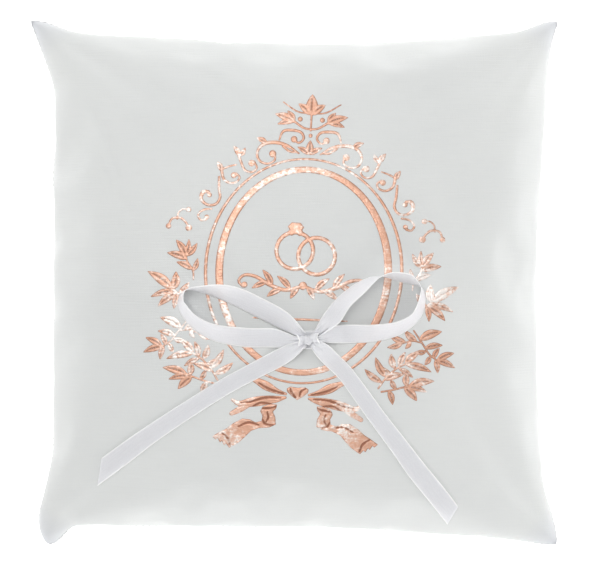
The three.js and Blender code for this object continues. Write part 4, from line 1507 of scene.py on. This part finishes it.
@dataclass(frozen=True)
class Leaf(Mark):
    """A pointed leaf from base to tip, split along its vein."""

    base: tuple[float, float]
    tip: tuple[float, float]
    width: float
    bow: float = 0.06  # how far it curves, as a share of its length
    vein: float = 0.17  # width of the split, mm

    def box(self) -> tuple[float, float, float, float]:
        """The leaf's box."""
        m = self.width
        xs, ys = (self.base[0], self.tip[0]), (self.base[1], self.tip[1])
        return (min(xs) - m, min(ys) - m, max(xs) + m, max(ys) + m)

    def depth(self, x: np.ndarray, y: np.ndarray) -> np.ndarray:
        """Distance to the leaf's edge.

        Args:
            x: places.
            y: places.

        Returns:
            The depth at each place.
        """
        dx, dy = self.tip[0] - self.base[0], self.tip[1] - self.base[1]
        length = math.hypot(dx, dy)
        t = ((x - self.base[0]) * dx + (y - self.base[1]) * dy) / length**2
        q = ((y - self.base[1]) * dx - (x - self.base[0]) * dy) / length
        inside = np.clip(t, 0, 1)
        q = q - self.bow * length * np.sin(math.pi * inside)
        half = self.width / 2 * np.sin(math.pi * inside**0.82) ** 0.85
        end = np.maximum(np.maximum(-t, t - 1), 0) * length
        body = np.hypot(np.maximum(np.abs(q) - half, 0), end)
        body = np.where((np.abs(q) < half) & (end <= 0), np.abs(q) - half, body)
        if self.width < 1.75:
            return body
        slit = self.vein * eased((t - 0.12) / 0.2) * eased((0.9 - t) / 0.3)
        return np.maximum(body, slit / 2 - np.abs(q) + np.where(slit < 0.02, -1.0, 0.0))


@dataclass(frozen=True)
class Spot(Mark):
    """A round spot."""

    x: float
    y: float
    radius: float

    def box(self) -> tuple[float, float, float, float]:
        """The spot's box."""
        r = self.radius + 0.3
        return (self.x - r, self.y - r, self.x + r, self.y + r)

    def depth(self, x: np.ndarray, y: np.ndarray) -> np.ndarray:
        """Distance to the spot's edge."""
        return np.hypot(x - self.x, y - self.y) - self.radius


@dataclass(frozen=True)
class Oval(Mark):
    """An oval band, wider at its sides than at its top."""

    x: float
    y: float
    half: tuple[float, float]
    widths: tuple[float, float]

    def box(self) -> tuple[float, float, float, float]:
        """The oval's box."""
        a, b = self.half[0] + self.widths[0], self.half[1] + self.widths[1]
        return (self.x - a, self.y - b, self.x + a, self.y + b)

    def depth(self, x: np.ndarray, y: np.ndarray) -> np.ndarray:
        """Distance to the band's edge.

        Args:
            x: places.
            y: places.

        Returns:
            The depth at each place.
        """
        a, b = self.half
        dx, dy = x - self.x, y - self.y
        value = (dx / a) ** 2 + (dy / b) ** 2 - 1
        steep = 2 * np.hypot(dx / a**2, dy / b**2) + 1e-9
        share = (dx / a) ** 2 / ((dx / a) ** 2 + (dy / b) ** 2 + 1e-9)
        width = self.widths[1] + (self.widths[0] - self.widths[1]) * share
        return np.abs(value) / steep - width / 2


@dataclass(frozen=True)
class Patch(Mark):
    """A patch with straight sides."""

    corners: tuple[tuple[float, float], ...]

    def box(self) -> tuple[float, float, float, float]:
        """The patch's box."""
        c = np.array(self.corners)
        return (*(c.min(0) - 0.3), *(c.max(0) + 0.3))

    def depth(self, x: np.ndarray, y: np.ndarray) -> np.ndarray:
        """Distance to the patch's edge.

        Args:
            x: places.
            y: places.

        Returns:
            The depth at each place.
        """
        far = np.full(x.shape, 1e3)
        inside = np.zeros(x.shape, bool)
        for a, b in zip(self.corners, self.corners[1:] + self.corners[:1]):
            dx, dy = b[0] - a[0], b[1] - a[1]
            t = np.clip(((x - a[0]) * dx + (y - a[1]) * dy) / (dx * dx + dy * dy), 0, 1)
            far = np.minimum(far, np.hypot(x - a[0] - t * dx, y - a[1] - t * dy))
            if dy:
                crossed = (a[1] > y) != (b[1] > y)
                inside ^= crossed & (x < dx * (y - a[1]) / dy + a[0])
        return np.where(inside, -far, far)


@dataclass
class FoilCutter:
    """Cuts foil shapes to meshes and presses them onto the front panel."""

    front: Front
    grain: float = 0.24  # mesh step, mm
    middle: tuple[float, float] = (3.4, 4.65)  # middle of the oval on the panel, mm
    turn: float = -2.9  # degrees the design is askew
    finish: RoseFoil = RoseFoil()

    def _cut(self, marks: Sequence[Mark]) -> tuple[np.ndarray, np.ndarray, list]:
        """Cuts the union of some shapes.

        Args:
            marks: the shapes.

        Returns:
            Plan points, their depths and the faces.
        """
        boxes = np.array([m.box() for m in marks])
        low, high = boxes[:, :2].min(0), boxes[:, 2:].max(0)
        h = self.grain
        xs = np.arange(low[0] - h, high[0] + 2 * h, h)
        ys = np.arange(low[1] - h, high[1] + 2 * h, h)
        x, y = np.meshgrid(xs, ys)
        depth = np.full(x.shape, 9.0)
        for mark, box in zip(marks, boxes):
            i = slice(*np.searchsorted(xs, (box[0] - h, box[2] + h)))
            j = slice(*np.searchsorted(ys, (box[1] - h, box[3] + h)))
            depth[j, i] = np.minimum(depth[j, i], mark.depth(x[j, i], y[j, i]))
        depth[np.abs(depth) < 0.02 * h] = -0.02 * h
        inside = depth < 0
        ids = np.full(x.shape, -1)
        ids[inside] = np.arange(inside.sum())
        points = [np.stack([x[inside], y[inside]], axis=1)]
        depths = [depth[inside]]
        total = int(inside.sum())
        crossings: dict[tuple[int, int, int, int], int] = {}
        extra: list[tuple[float, float]] = []

        def crossing(a: tuple[int, int], b: tuple[int, int]) -> int:
            """The point where the edge between two grid points leaves the foil.

            Args:
                a: one grid point, as row and column.
                b: the other.

            Returns:
                The point's number.
            """
            key = (*a, *b) if a < b else (*b, *a)
            if key not in crossings:
                da, db = depth[a], depth[b]
                t = da / (da - db)
                extra.append((x[a] + t * (x[b] - x[a]), y[a] + t * (y[b] - y[a])))
                crossings[key] = total + len(extra) - 1
            return crossings[key]

        count = (
            inside[:-1, :-1].astype(int) + inside[:-1, 1:] + inside[1:, 1:] + inside[1:, :-1]
        )
        whole = np.argwhere(count == 4)
        faces = [
            (ids[j, i], ids[j, i + 1], ids[j + 1, i + 1], ids[j + 1, i]) for j, i in whole
        ]
        for j, i in np.argwhere((count > 0) & (count < 4)):
            ring = [(j, i), (j, i + 1), (j + 1, i + 1), (j + 1, i)]
            face = []
            for a, b in zip(ring, ring[1:] + ring[:1]):
                if inside[a]:
                    face.append(int(ids[a]))
                if inside[a] != inside[b]:
                    face.append(crossing(a, b))
            if len(face) > 2:
                faces.append(tuple(face))
        if extra:
            points.append(np.array(extra))
            depths.append(np.zeros(len(extra)))
        return np.concatenate(points), np.concatenate(depths), faces

    def press(
        self, name: str, node: str, marks: Sequence[Mark], creases: Sequence[Mark] = ()
    ) -> bpy.types.Object:
        """Makes one piece of foil on the panel.

        Args:
            name: the piece's name.
            node: the part of the frame that it stands for.
            marks: its shapes, drawn about the middle of the oval.
            creases: lines pressed into it.

        Returns:
            The foil.
        """
        plan, depth, faces = self._cut(marks)
        c, s = math.cos(math.radians(self.turn)), math.sin(math.radians(self.turn))
        x = self.middle[0] + c * plan[:, 0] - s * plan[:, 1]
        y = self.middle[1] + s * plan[:, 0] + c * plan[:, 1]
        level = self.front.levels(np.stack([x, y], axis=1))
        pressed = np.zeros(len(plan))
        for crease in creases:
            far = crease.depth(plan[:, 0], plan[:, 1])
            pressed = np.maximum(pressed, 1 - eased(far / 0.35))
        height = 0.05 + 0.16 * eased(-depth / 0.5) * (1 - 0.75 * pressed)
        points = np.stack([x, y, level + height], axis=1)
        finish = made_once(self.finish)
        piece = mesh_piece(name, points * MM, faces, finish)
        rim = piece.data.attributes.new("rim", "FLOAT", "POINT")
        # rim: painted shade along the foil's edges and, stronger, along its pressed creases
        shade = np.maximum(1 - eased(-depth / 0.4), 2.0 * pressed)
        rim.data.foreach_set("value", shade.astype(np.float32))
        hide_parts(node)
        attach(piece, CUSHION_BODY)
        return piece


def mirrored(mark: Mark, side: Side) -> Mark:
    """A shape drawn for the right half, moved to a side.

    Args:
        mark: the shape.
        side: the half it goes to.

    Returns:
        The shape.
    """
    s = side.value
    if isinstance(mark, Stroke):
        return Stroke(tuple((x * s, y, w) for x, y, w in mark.points), mark.steps)
    if isinstance(mark, Leaf):
        base, tip = mark.base, mark.tip
        return Leaf((base[0] * s, base[1]), (tip[0] * s, tip[1]), mark.width, mark.bow * s)
    if isinstance(mark, Spot):
        return Spot(mark.x * s, mark.y, mark.radius)
    if isinstance(mark, Patch):
        return Patch(tuple((x * s, y) for x, y in mark.corners))
    return mark


def line(*points: tuple[float, float, float]) -> Stroke:
    """A stroke through points (x, y, width)."""
    return Stroke(points)


def leaf(bx: float, by: float, tx: float, ty: float, width: float, bow: float = 0.06) -> Leaf:
    """A leaf from its base to its tip."""
    return Leaf((bx, by), (tx, ty), width, bow)


@dataclass
class FoilDesign:
    """The foil design, drawn about the middle of its oval with y up, in mm."""

    cutter: FoilCutter

    def _middle(self) -> dict[str, list[Mark]]:
        """The pieces on the middle line.

        Returns:
            Shapes by node.
        """
        crest: list[Mark] = [
            leaf(0, 56.6, 0, 64.6, 4.4, 0.0),
            line((0, 58.5, 0.9), (0, 54.5, 0.7), (0, 51.2, 0.7)),
        ]
        for side in Side:
            crest += [
                mirrored(leaf(0.1, 57.0, 5.0, 60.9, 3.0), side),
                mirrored(line((0.1, 57.4, 0.5), (5, 57.9, 0.6), (10.5, 61.2, 0.45)), side),
                mirrored(line((0, 51.6, 0.8), (2.5, 52, 0.8), (6.2, 54.3, 0.9)), side),
                mirrored(leaf(5.6, 54.0, 13.4, 56.7, 3.0), side),
                mirrored(leaf(6, 54.3, 8.9, 58.2, 2.1), side),
                mirrored(leaf(6, 54.3, 12.4, 52.9, 2.1), side),
            ]
        motif: list[Mark] = [
            Oval(-3.6, 7.2, (6.6, 6.6), (1.5, 1.5)),
            Oval(4.4, 5.6, (6.6, 6.6), (1.5, 1.5)),
        ]
        up = 7.2 + 6.6
        stone = ((-1.7, 0.2), (1.7, 0.2), (3, 2), (1.6, 3.6), (-1.6, 3.6), (-3, 2))
        facets = ((-1.55, 0.0, 1.2), (1.55, 0.0, 1.2))
        motif.append(Patch(tuple((x - 3.6, y + up) for x, y in stone)))
        motif += [Spot(x - 3.6, y + up, r) for x, y, r in facets]
        flourish: list[Mark] = [Spot(0, -5.4, 1.5)]
        for side in Side:
            branch = line(
                (0, -5.4, 1.2), (6, -7.2, 1.4), (12, -5.6, 1.5), (17.5, -2.8, 1.3),
                (21.6, -2.6, 1.1), (23.4, -4.8, 1), (21.8, -6.6, 0.9),
            )
            flourish += [
                mirrored(m, side)
                for m in (
                    branch,
                    Spot(21.2, -6, 1.1),
                    leaf(4.4, -6.8, 9.6, -2.2, 2.4),
                    leaf(7.6, -6.9, 13, -10, 2.3),
                    leaf(11, -5.9, 15, -0.2, 2.4),
                    leaf(13.4, -4.9, 18.6, -7.2, 2.1),
                    leaf(1.4, -5.8, 4.4, -10.4, 2.2),
                )
            ]
        knot = (
            (0, -46.9), (2.2, -45.5), (3.8, -44), (4, -42.9), (2.7, -42.1), (0, -42.4),
            (-2.7, -42.1), (-4, -42.9), (-3.8, -44), (-2.2, -45.5),
        )
        return {
            "foil_inner_band": [Oval(0, 0, (30.6, 36.8), (2.8, 2.3))],
            "foil_outer_line": [Oval(0, 0, (35.6, 40.7), (1.2, 0.8))],
            "foil_crest_flower": crest,
            "foil_crest_dot": [Spot(0, 49.3, 0.75)],
            "foil_crest_lily": [
                leaf(0, 42.3, 0, 47.6, 2.8, 0.0),
                leaf(0.1, 42.4, 4.6, 45.0, 2.1),
                leaf(-0.1, 42.4, -4.6, 45.0, 2.1, -0.06),
            ],
            "foil_rings_motif": motif,
            "foil_flourish": flourish,
            "foil_rule": [line((-17.6, -17.8, 0.5), (0, -17.6, 0.9), (16.6, -17.4, 0.5))],
            "foil_bow_knot": [Patch(knot)],
        }

    @staticmethod
    def _scrolls() -> list[list[Mark]]:
        """The vine beside the oval, from the top outwards and down, right half.

        Returns:
            The shapes of each scroll.
        """
        return [
            [
                line(
                    (3.9, 42.6, 0.6), (8.4, 45.3, 1.2), (13.3, 46.2, 1.4), (17.4, 45, 1.2),
                    (19.1, 42, 1), (17.9, 39.1, 0.9), (15, 38.3, 0.8), (12.5, 39.8, 0.8),
                    (12.6, 41.6, 0.8),
                ),
                Spot(13.4, 42, 1.3),
                leaf(15.6, 45.7, 19.6, 47.6, 2.1),
                line((4.6, 42.9, 0.5), (7.2, 43.2, 0.9), (9.8, 44.9, 0.8)),
            ],
            [
                line(
                    (26.1, 42, 1.2), (24.9, 38.8, 1), (23, 35.4, 0.9), (20.4, 35, 0.8),
                    (18.9, 36.6, 0.8), (20, 38.8, 0.8),
                ),
                Spot(20.9, 38.2, 1.2),
                leaf(25.3, 40.5, 27.8, 44.2, 2.1),
                leaf(25.3, 40.5, 23.4, 43.8, 1.8),
            ],
            [
                line(
                    (31.7, 35.6, 1.2), (30.7, 32, 1), (28.4, 30.6, 0.9), (26, 31.1, 0.8),
                    (25, 32.8, 0.8), (26.3, 34.2, 0.8),
                ),
                Spot(27.1, 33.5, 1.1),
                leaf(31.6, 34.8, 33.4, 38.2, 2.1),
                line((31.7, 35.4, 0.8), (29, 36.6, 0.7), (26.4, 37.4, 0.5)),
            ],
            [
                line(
                    (32.4, 32.6, 0.9), (32.2, 28.4, 1), (31.7, 25, 1), (33.2, 22.6, 1),
                    (36.2, 22.3, 1), (38.6, 24.4, 1.3), (37.8, 26.9, 1.5), (35.9, 27, 1),
                ),
                Spot(35.6, 25.9, 0.9),
            ],
            [
                line(
                    (34.6, 20.9, 0.8), (37.6, 20.3, 0.8), (39.3, 18.4, 0.8), (38.2, 16.6, 0.8),
                    (36.5, 16.9, 0.9),
                ),
                Spot(36.1, 17.8, 0.9),
            ],
        ]

    @staticmethod
    def _sprays() -> list[list[Mark]]:
        """The leaf sprays down the right side.

        Returns:
            The shapes of each spray.
        """
        return [
            [
                line((39.8, -5, 0.6), (40.2, -1.8, 0.7), (42.4, 1.4, 0.7), (43, 3.6, 0.8)),
                leaf(42.9, 3.2, 46.9, 9.1, 2.8), leaf(43, 3.4, 42.2, 9.6, 2.0),
                leaf(43, 3.2, 39, 8.3, 2.3), leaf(42.6, 2.2, 50, 4.2, 2.8),
                leaf(40.4, -1.4, 46.4, 1, 2.4), leaf(40.1, -2, 38.6, 2.8, 2.0),
            ],
            [
                line((44.8, -10.8, 0.7), (46, -9.9, 0.8), (47.6, -9, 0.9)),
                leaf(47.2, -9.1, 56.8, -2.9, 3.7), leaf(47, -9.2, 46.3, -2.4, 3.3),
                leaf(46.6, -9.6, 55.2, -12.2, 2.4), leaf(45.6, -10.2, 52.4, -15.6, 2.8),
                leaf(45.2, -10.6, 46.4, -16.2, 2.2), leaf(45.0, -10.4, 41.2, -6.0, 2.2),
            ],
            [
                line(
                    (41.0, -19.6, 0.6), (44.6, -24.4, 0.7), (47.2, -28.0, 0.7),
                    (50.4, -30.2, 0.6),
                ),
                leaf(43.2, -22.8, 51.4, -19.4, 3.4), leaf(45.4, -25.8, 52.0, -24.4, 2.4),
                leaf(50, -30, 56.4, -27.0, 2.5), leaf(50, -30.1, 56.9, -32.5, 2.5),
                leaf(48.6, -29.4, 50.8, -25.4, 2.0), leaf(49.4, -29.8, 50.6, -34.8, 2.2),
                line((44.4, -24.0, 0.5), (40.6, -23.4, 0.6), (36.8, -24.6, 0.5)),
                leaf(42.2, -23.4, 37.6, -19.6, 2.6), leaf(38.4, -24.0, 32.2, -21.6, 2.4),
                leaf(37.2, -24.4, 31.6, -26.2, 2.2), leaf(40.2, -23.6, 38.2, -26.4, 1.7),
                leaf(46.0, -27.0, 41.6, -27.4, 2.0),
                leaf(47.6, -28.6, 45.6, -32.0, 2.0),
            ],
            [
                line((29.2, -41.2, 0.7), (32, -37, 0.7), (35.6, -33.6, 0.7), (39.6, -31.4, 0.7)),
                leaf(38.4, -31.8, 43.6, -27.2, 2.8), leaf(38.6, -32, 48.4, -34.4, 2.7),
                leaf(34.8, -33.8, 33.2, -28.4, 2.6), leaf(31.8, -37, 27.5, -29.8, 2.7),
                leaf(30.4, -39, 23.8, -34.4, 2.6), leaf(31, -38, 38.4, -35.6, 2.7),
                leaf(36.4, -33.2, 38.4, -27.4, 2.3), leaf(33.4, -35.6, 29.0, -33.0, 1.9),
                leaf(36.2, -33.6, 41.8, -36.8, 2.0),
            ],
            [
                line((30.4, -42.4, 0.7), (35, -41.4, 0.7), (40.6, -39.6, 0.7)),
                leaf(40.2, -39.8, 49.6, -37.6, 3.1), leaf(39.4, -40, 39.4, -34.8, 2.6),
                leaf(38.6, -40.4, 43.6, -45.2, 3.0), leaf(33, -41.8, 34.8, -47.0, 2.4),
                leaf(35.6, -41.2, 33.6, -37.4, 2.0), leaf(39.8, -40.2, 47.2, -41.8, 2.3),
            ],
        ]

    @staticmethod
    def _others() -> dict[str, list[Mark]]:
        """The other pieces that each half has one of, right half.

        Returns:
            Shapes by the start of the node's name.
        """
        return {
            "foil_crest_bead": [Spot(4.05, 55.2, 0.9)],
            "foil_crest_scroll": [
                line(
                    (11.3, 47.2, 0.6), (10, 50.4, 1), (6.9, 51, 1.1), (3.4, 50.3, 1),
                    (2.4, 48.2, 0.9), (4, 46.5, 0.8), (5.8, 47.2, 0.8),
                ),
                Spot(5.9, 47.7, 1.2),
            ],
            "foil_tendril": [
                line(
                    (50, 14, 0.8), (48.6, 16.7, 0.8), (45.4, 16.9, 0.9), (43.4, 15.2, 0.8),
                    (42.6, 13.6, 0.8),
                ),
                line((46.9, 16.6, 0.6), (46.5, 19, 0.6), (44.9, 20.3, 0.6), (43.4, 20.2, 0.6)),
                Spot(49.9, 13.9, 1), Spot(42.5, 13.6, 1.2), Spot(42.9, 20.2, 1),
            ],
            "foil_bow_loop": [
                line(
                    (4.2, -44.9, 0.9), (7.6, -44.0, 2.0), (11.4, -42.3, 3.3), (15.0, -40.6, 2.2),
                    (17.8, -39.6, 1.0),
                ),
                line(
                    (4.3, -46.2, 0.9), (7.4, -46.9, 2.4), (11.8, -47.6, 3.4), (16.4, -48.5, 3.4),
                    (21.2, -49.2, 1.8), (23.6, -48.0, 1.0),
                ),
                line((17.2, -49.6, 1.2), (20.4, -51.2, 2.2), (23.6, -53.0, 1.6)),
            ],
            "foil_bow_tail": [
                Patch(
                    (
                        (7.2, -48.9), (9.6, -48.8), (12.4, -49.9), (13.2, -51.6), (12.3, -53.4),
                        (12.6, -55.2), (14.6, -55.8), (17.0, -54.8), (19.6, -54.7),
                        (22.6, -56.4), (25.2, -58.6), (27.9, -60.2), (30.3, -61.8),
                        (28.9, -62.9), (28.3, -62.3), (27.3, -63.9), (26.7, -63.2),
                        (25.7, -64.9), (25.1, -64.1), (23.9, -65.6), (22.7, -64.9),
                        (20.4, -63.4), (18.2, -61.2), (16.2, -59.0), (13.4, -57.8),
                        (9.6, -57.4), (7.3, -56.2), (7.6, -53.6), (8.6, -51.6), (7.4, -50.2),
                    )
                ),
            ],
        }

    @staticmethod
    def _creases() -> dict[str, list[Mark]]:
        """Lines pressed into the pieces of the drawn bow, right half.

        Returns:
            Lines by the start of the node's name.
        """
        return {
            "foil_bow_loop": [
                line((5.0, -44.7, 0.1), (9.8, -43.6, 0.5), (14.2, -41.4, 0.1)),
                line((6.0, -46.4, 0.1), (11.4, -46.6, 0.5), (17.6, -48.6, 0.3), (20.4, -48.9, 0.1)),
                line((9.0, -48.8, 0.1), (13.2, -48.6, 0.4), (15.8, -49.8, 0.1)),
            ],
            "foil_bow_tail": [
                line((7.4, -49.6, 0.2), (9.8, -50.3, 0.5), (13.0, -50.6, 0.3)),
                line((12.2, -54.6, 0.1), (11.2, -56.2, 0.5), (8.0, -56.4, 0.1)),
                line((13.6, -56.7, 0.2), (17.4, -56.0, 0.5), (20.8, -57.6, 0.2)),
                line((27.0, -60.2, 0.2), (24.8, -61.8, 0.5), (23.6, -64.6, 0.2)),
                line((10.6, -51.8, 0.1), (10.2, -53.8, 0.3), (10.9, -55.4, 0.1)),
            ],
            "foil_bow_knot": [
                line((-2.6, -42.8, 0.1), (-2.2, -44.3, 0.5), (-0.6, -46.0, 0.2)),
                line((2.9, -42.6, 0.1), (1.2, -43.8, 0.4), (0.8, -45.6, 0.1)),
            ],
        }

    def build(self) -> None:
        """Presses every piece."""
        pressed = self._creases()
        wanted = dict(self._middle())
        for side in Side:
            groups = {f"{k}_{side.label}": v for k, v in self._others().items()}
            for i, marks in enumerate(self._scrolls()):
                groups[f"foil_scroll_{side.label}_{i + 1}"] = marks
            for i, marks in enumerate(self._sprays()):
                groups[f"foil_spray_{side.label}_{i + 1}"] = marks
            for node, marks in groups.items():
                wanted[node] = [mirrored(m, side) for m in marks]
        for node, marks in wanted.items():
            side = Side.LEFT if node.endswith("_left") else Side.RIGHT
            start = node.removesuffix("_left").removesuffix("_right")
            creases = [mirrored(m, side) for m in pressed.get(start, [])]
            piece = self.cutter.press("pressed_" + node, node, marks, creases)
            log.info("%s: %d faces", piece.name, len(piece.data.polygons))


# ---------------------------------------------------------------- studio


@dataclass
class Studio:
    """The floor, the light and the camera."""

    eye: tuple[float, float, float] = (2.05, -1.5, 1228.0)  # mm
    lens: float = 193.5
    sky: float = 0.35
    table: PaleTable = PaleTable()

    def camera(self) -> None:
        """Makes the camera, straight over the cushion."""
        data = bpy.data.cameras.new("camera")
        data.lens, data.sensor_width = self.lens, 36.0
        data.clip_start, data.clip_end = 0.01, 10.0
        eye = bpy.data.objects.new("camera", data)
        eye.location = Vector(self.eye) * MM
        bpy.context.scene.collection.objects.link(eye)
        bpy.context.scene.camera = eye

    def floor(self) -> None:
        """Makes the floor."""
        size = 3.0
        points = np.array([(-size, -size, 0), (size, -size, 0), (size, size, 0), (-size, size, 0)])
        points[:, 2] = -0.0002
        floor = mesh_piece("floor", points, [(0, 1, 2, 3)], self.table.material())

    def _lamp(self, name: str, place: Sequence[float], size: float, power: float) -> None:
        """Adds one soft light that faces the cushion.

        Args:
            name: its name.
            place: where it stands, metres.
            size: its side, metres.
            power: its power, watts.
        """
        data = bpy.data.lights.new(name, "AREA")
        data.size, data.energy = size, power
        lamp = bpy.data.objects.new(name, data)
        lamp.location = place
        aim = Vector((0, 0, 0.04)) - Vector(place)
        lamp.rotation_mode = "QUATERNION"
        lamp.rotation_quaternion = aim.to_track_quat("-Z", "Y")
        bpy.context.scene.collection.objects.link(lamp)

    def lights(self) -> None:
        """Makes the lights and the even white surroundings."""
        world = bpy.data.worlds.new("surroundings")
        world.use_nodes = True
        world.node_tree.nodes["Background"].inputs[0].default_value = rgb(1.0, 1.0, 1.0)
        world.node_tree.nodes["Background"].inputs[1].default_value = self.sky
        bpy.context.scene.world = world
        self._lamp("key", (-0.32, 0.5, 0.9), 0.3, 1.0)
        self._lamp("ceiling", (-0.2, 0.25, 1.6), 0.9, 9.0)
        for name, x, y, power in (
            ("west", -1, 0, 1.3), ("east", 1, 0, 2.6), ("north", 0, 1, 1.8), ("south", 0, -1, 2.4),
        ):
            self._lamp(f"edge_{name}", (0.75 * x, 0.75 * y, 0.22), 0.5, power)
        scene = bpy.context.scene
        scene.view_settings.view_transform = "Standard"

    def build(self) -> None:
        """Makes the whole studio."""
        self.camera()
        self.floor()
        self.lights()


def dress_tack(thread: SewingThread) -> None:
    """Gives the tack stitch under the knot its finish.

    Args:
        thread: the thread's finish.
    """
    finish = made_once(thread)
    tack = frame["nodes"]["ribbon_tack_thread"]
    tack.data.materials.clear()
    tack.data.materials.append(finish)


def main() -> None:
    """Builds the scene."""
    logging.basicConfig(level=logging.INFO, format="%(name)s %(message)s", stream=sys.stdout)
    Studio().build()
    front = Cushion().build()
    Bow(front).build()
    FoilDesign(FoilCutter(front)).build()
    dress_tack(SewingThread())
    log.info("bounds written")


if __name__ == "__main__":
    main()
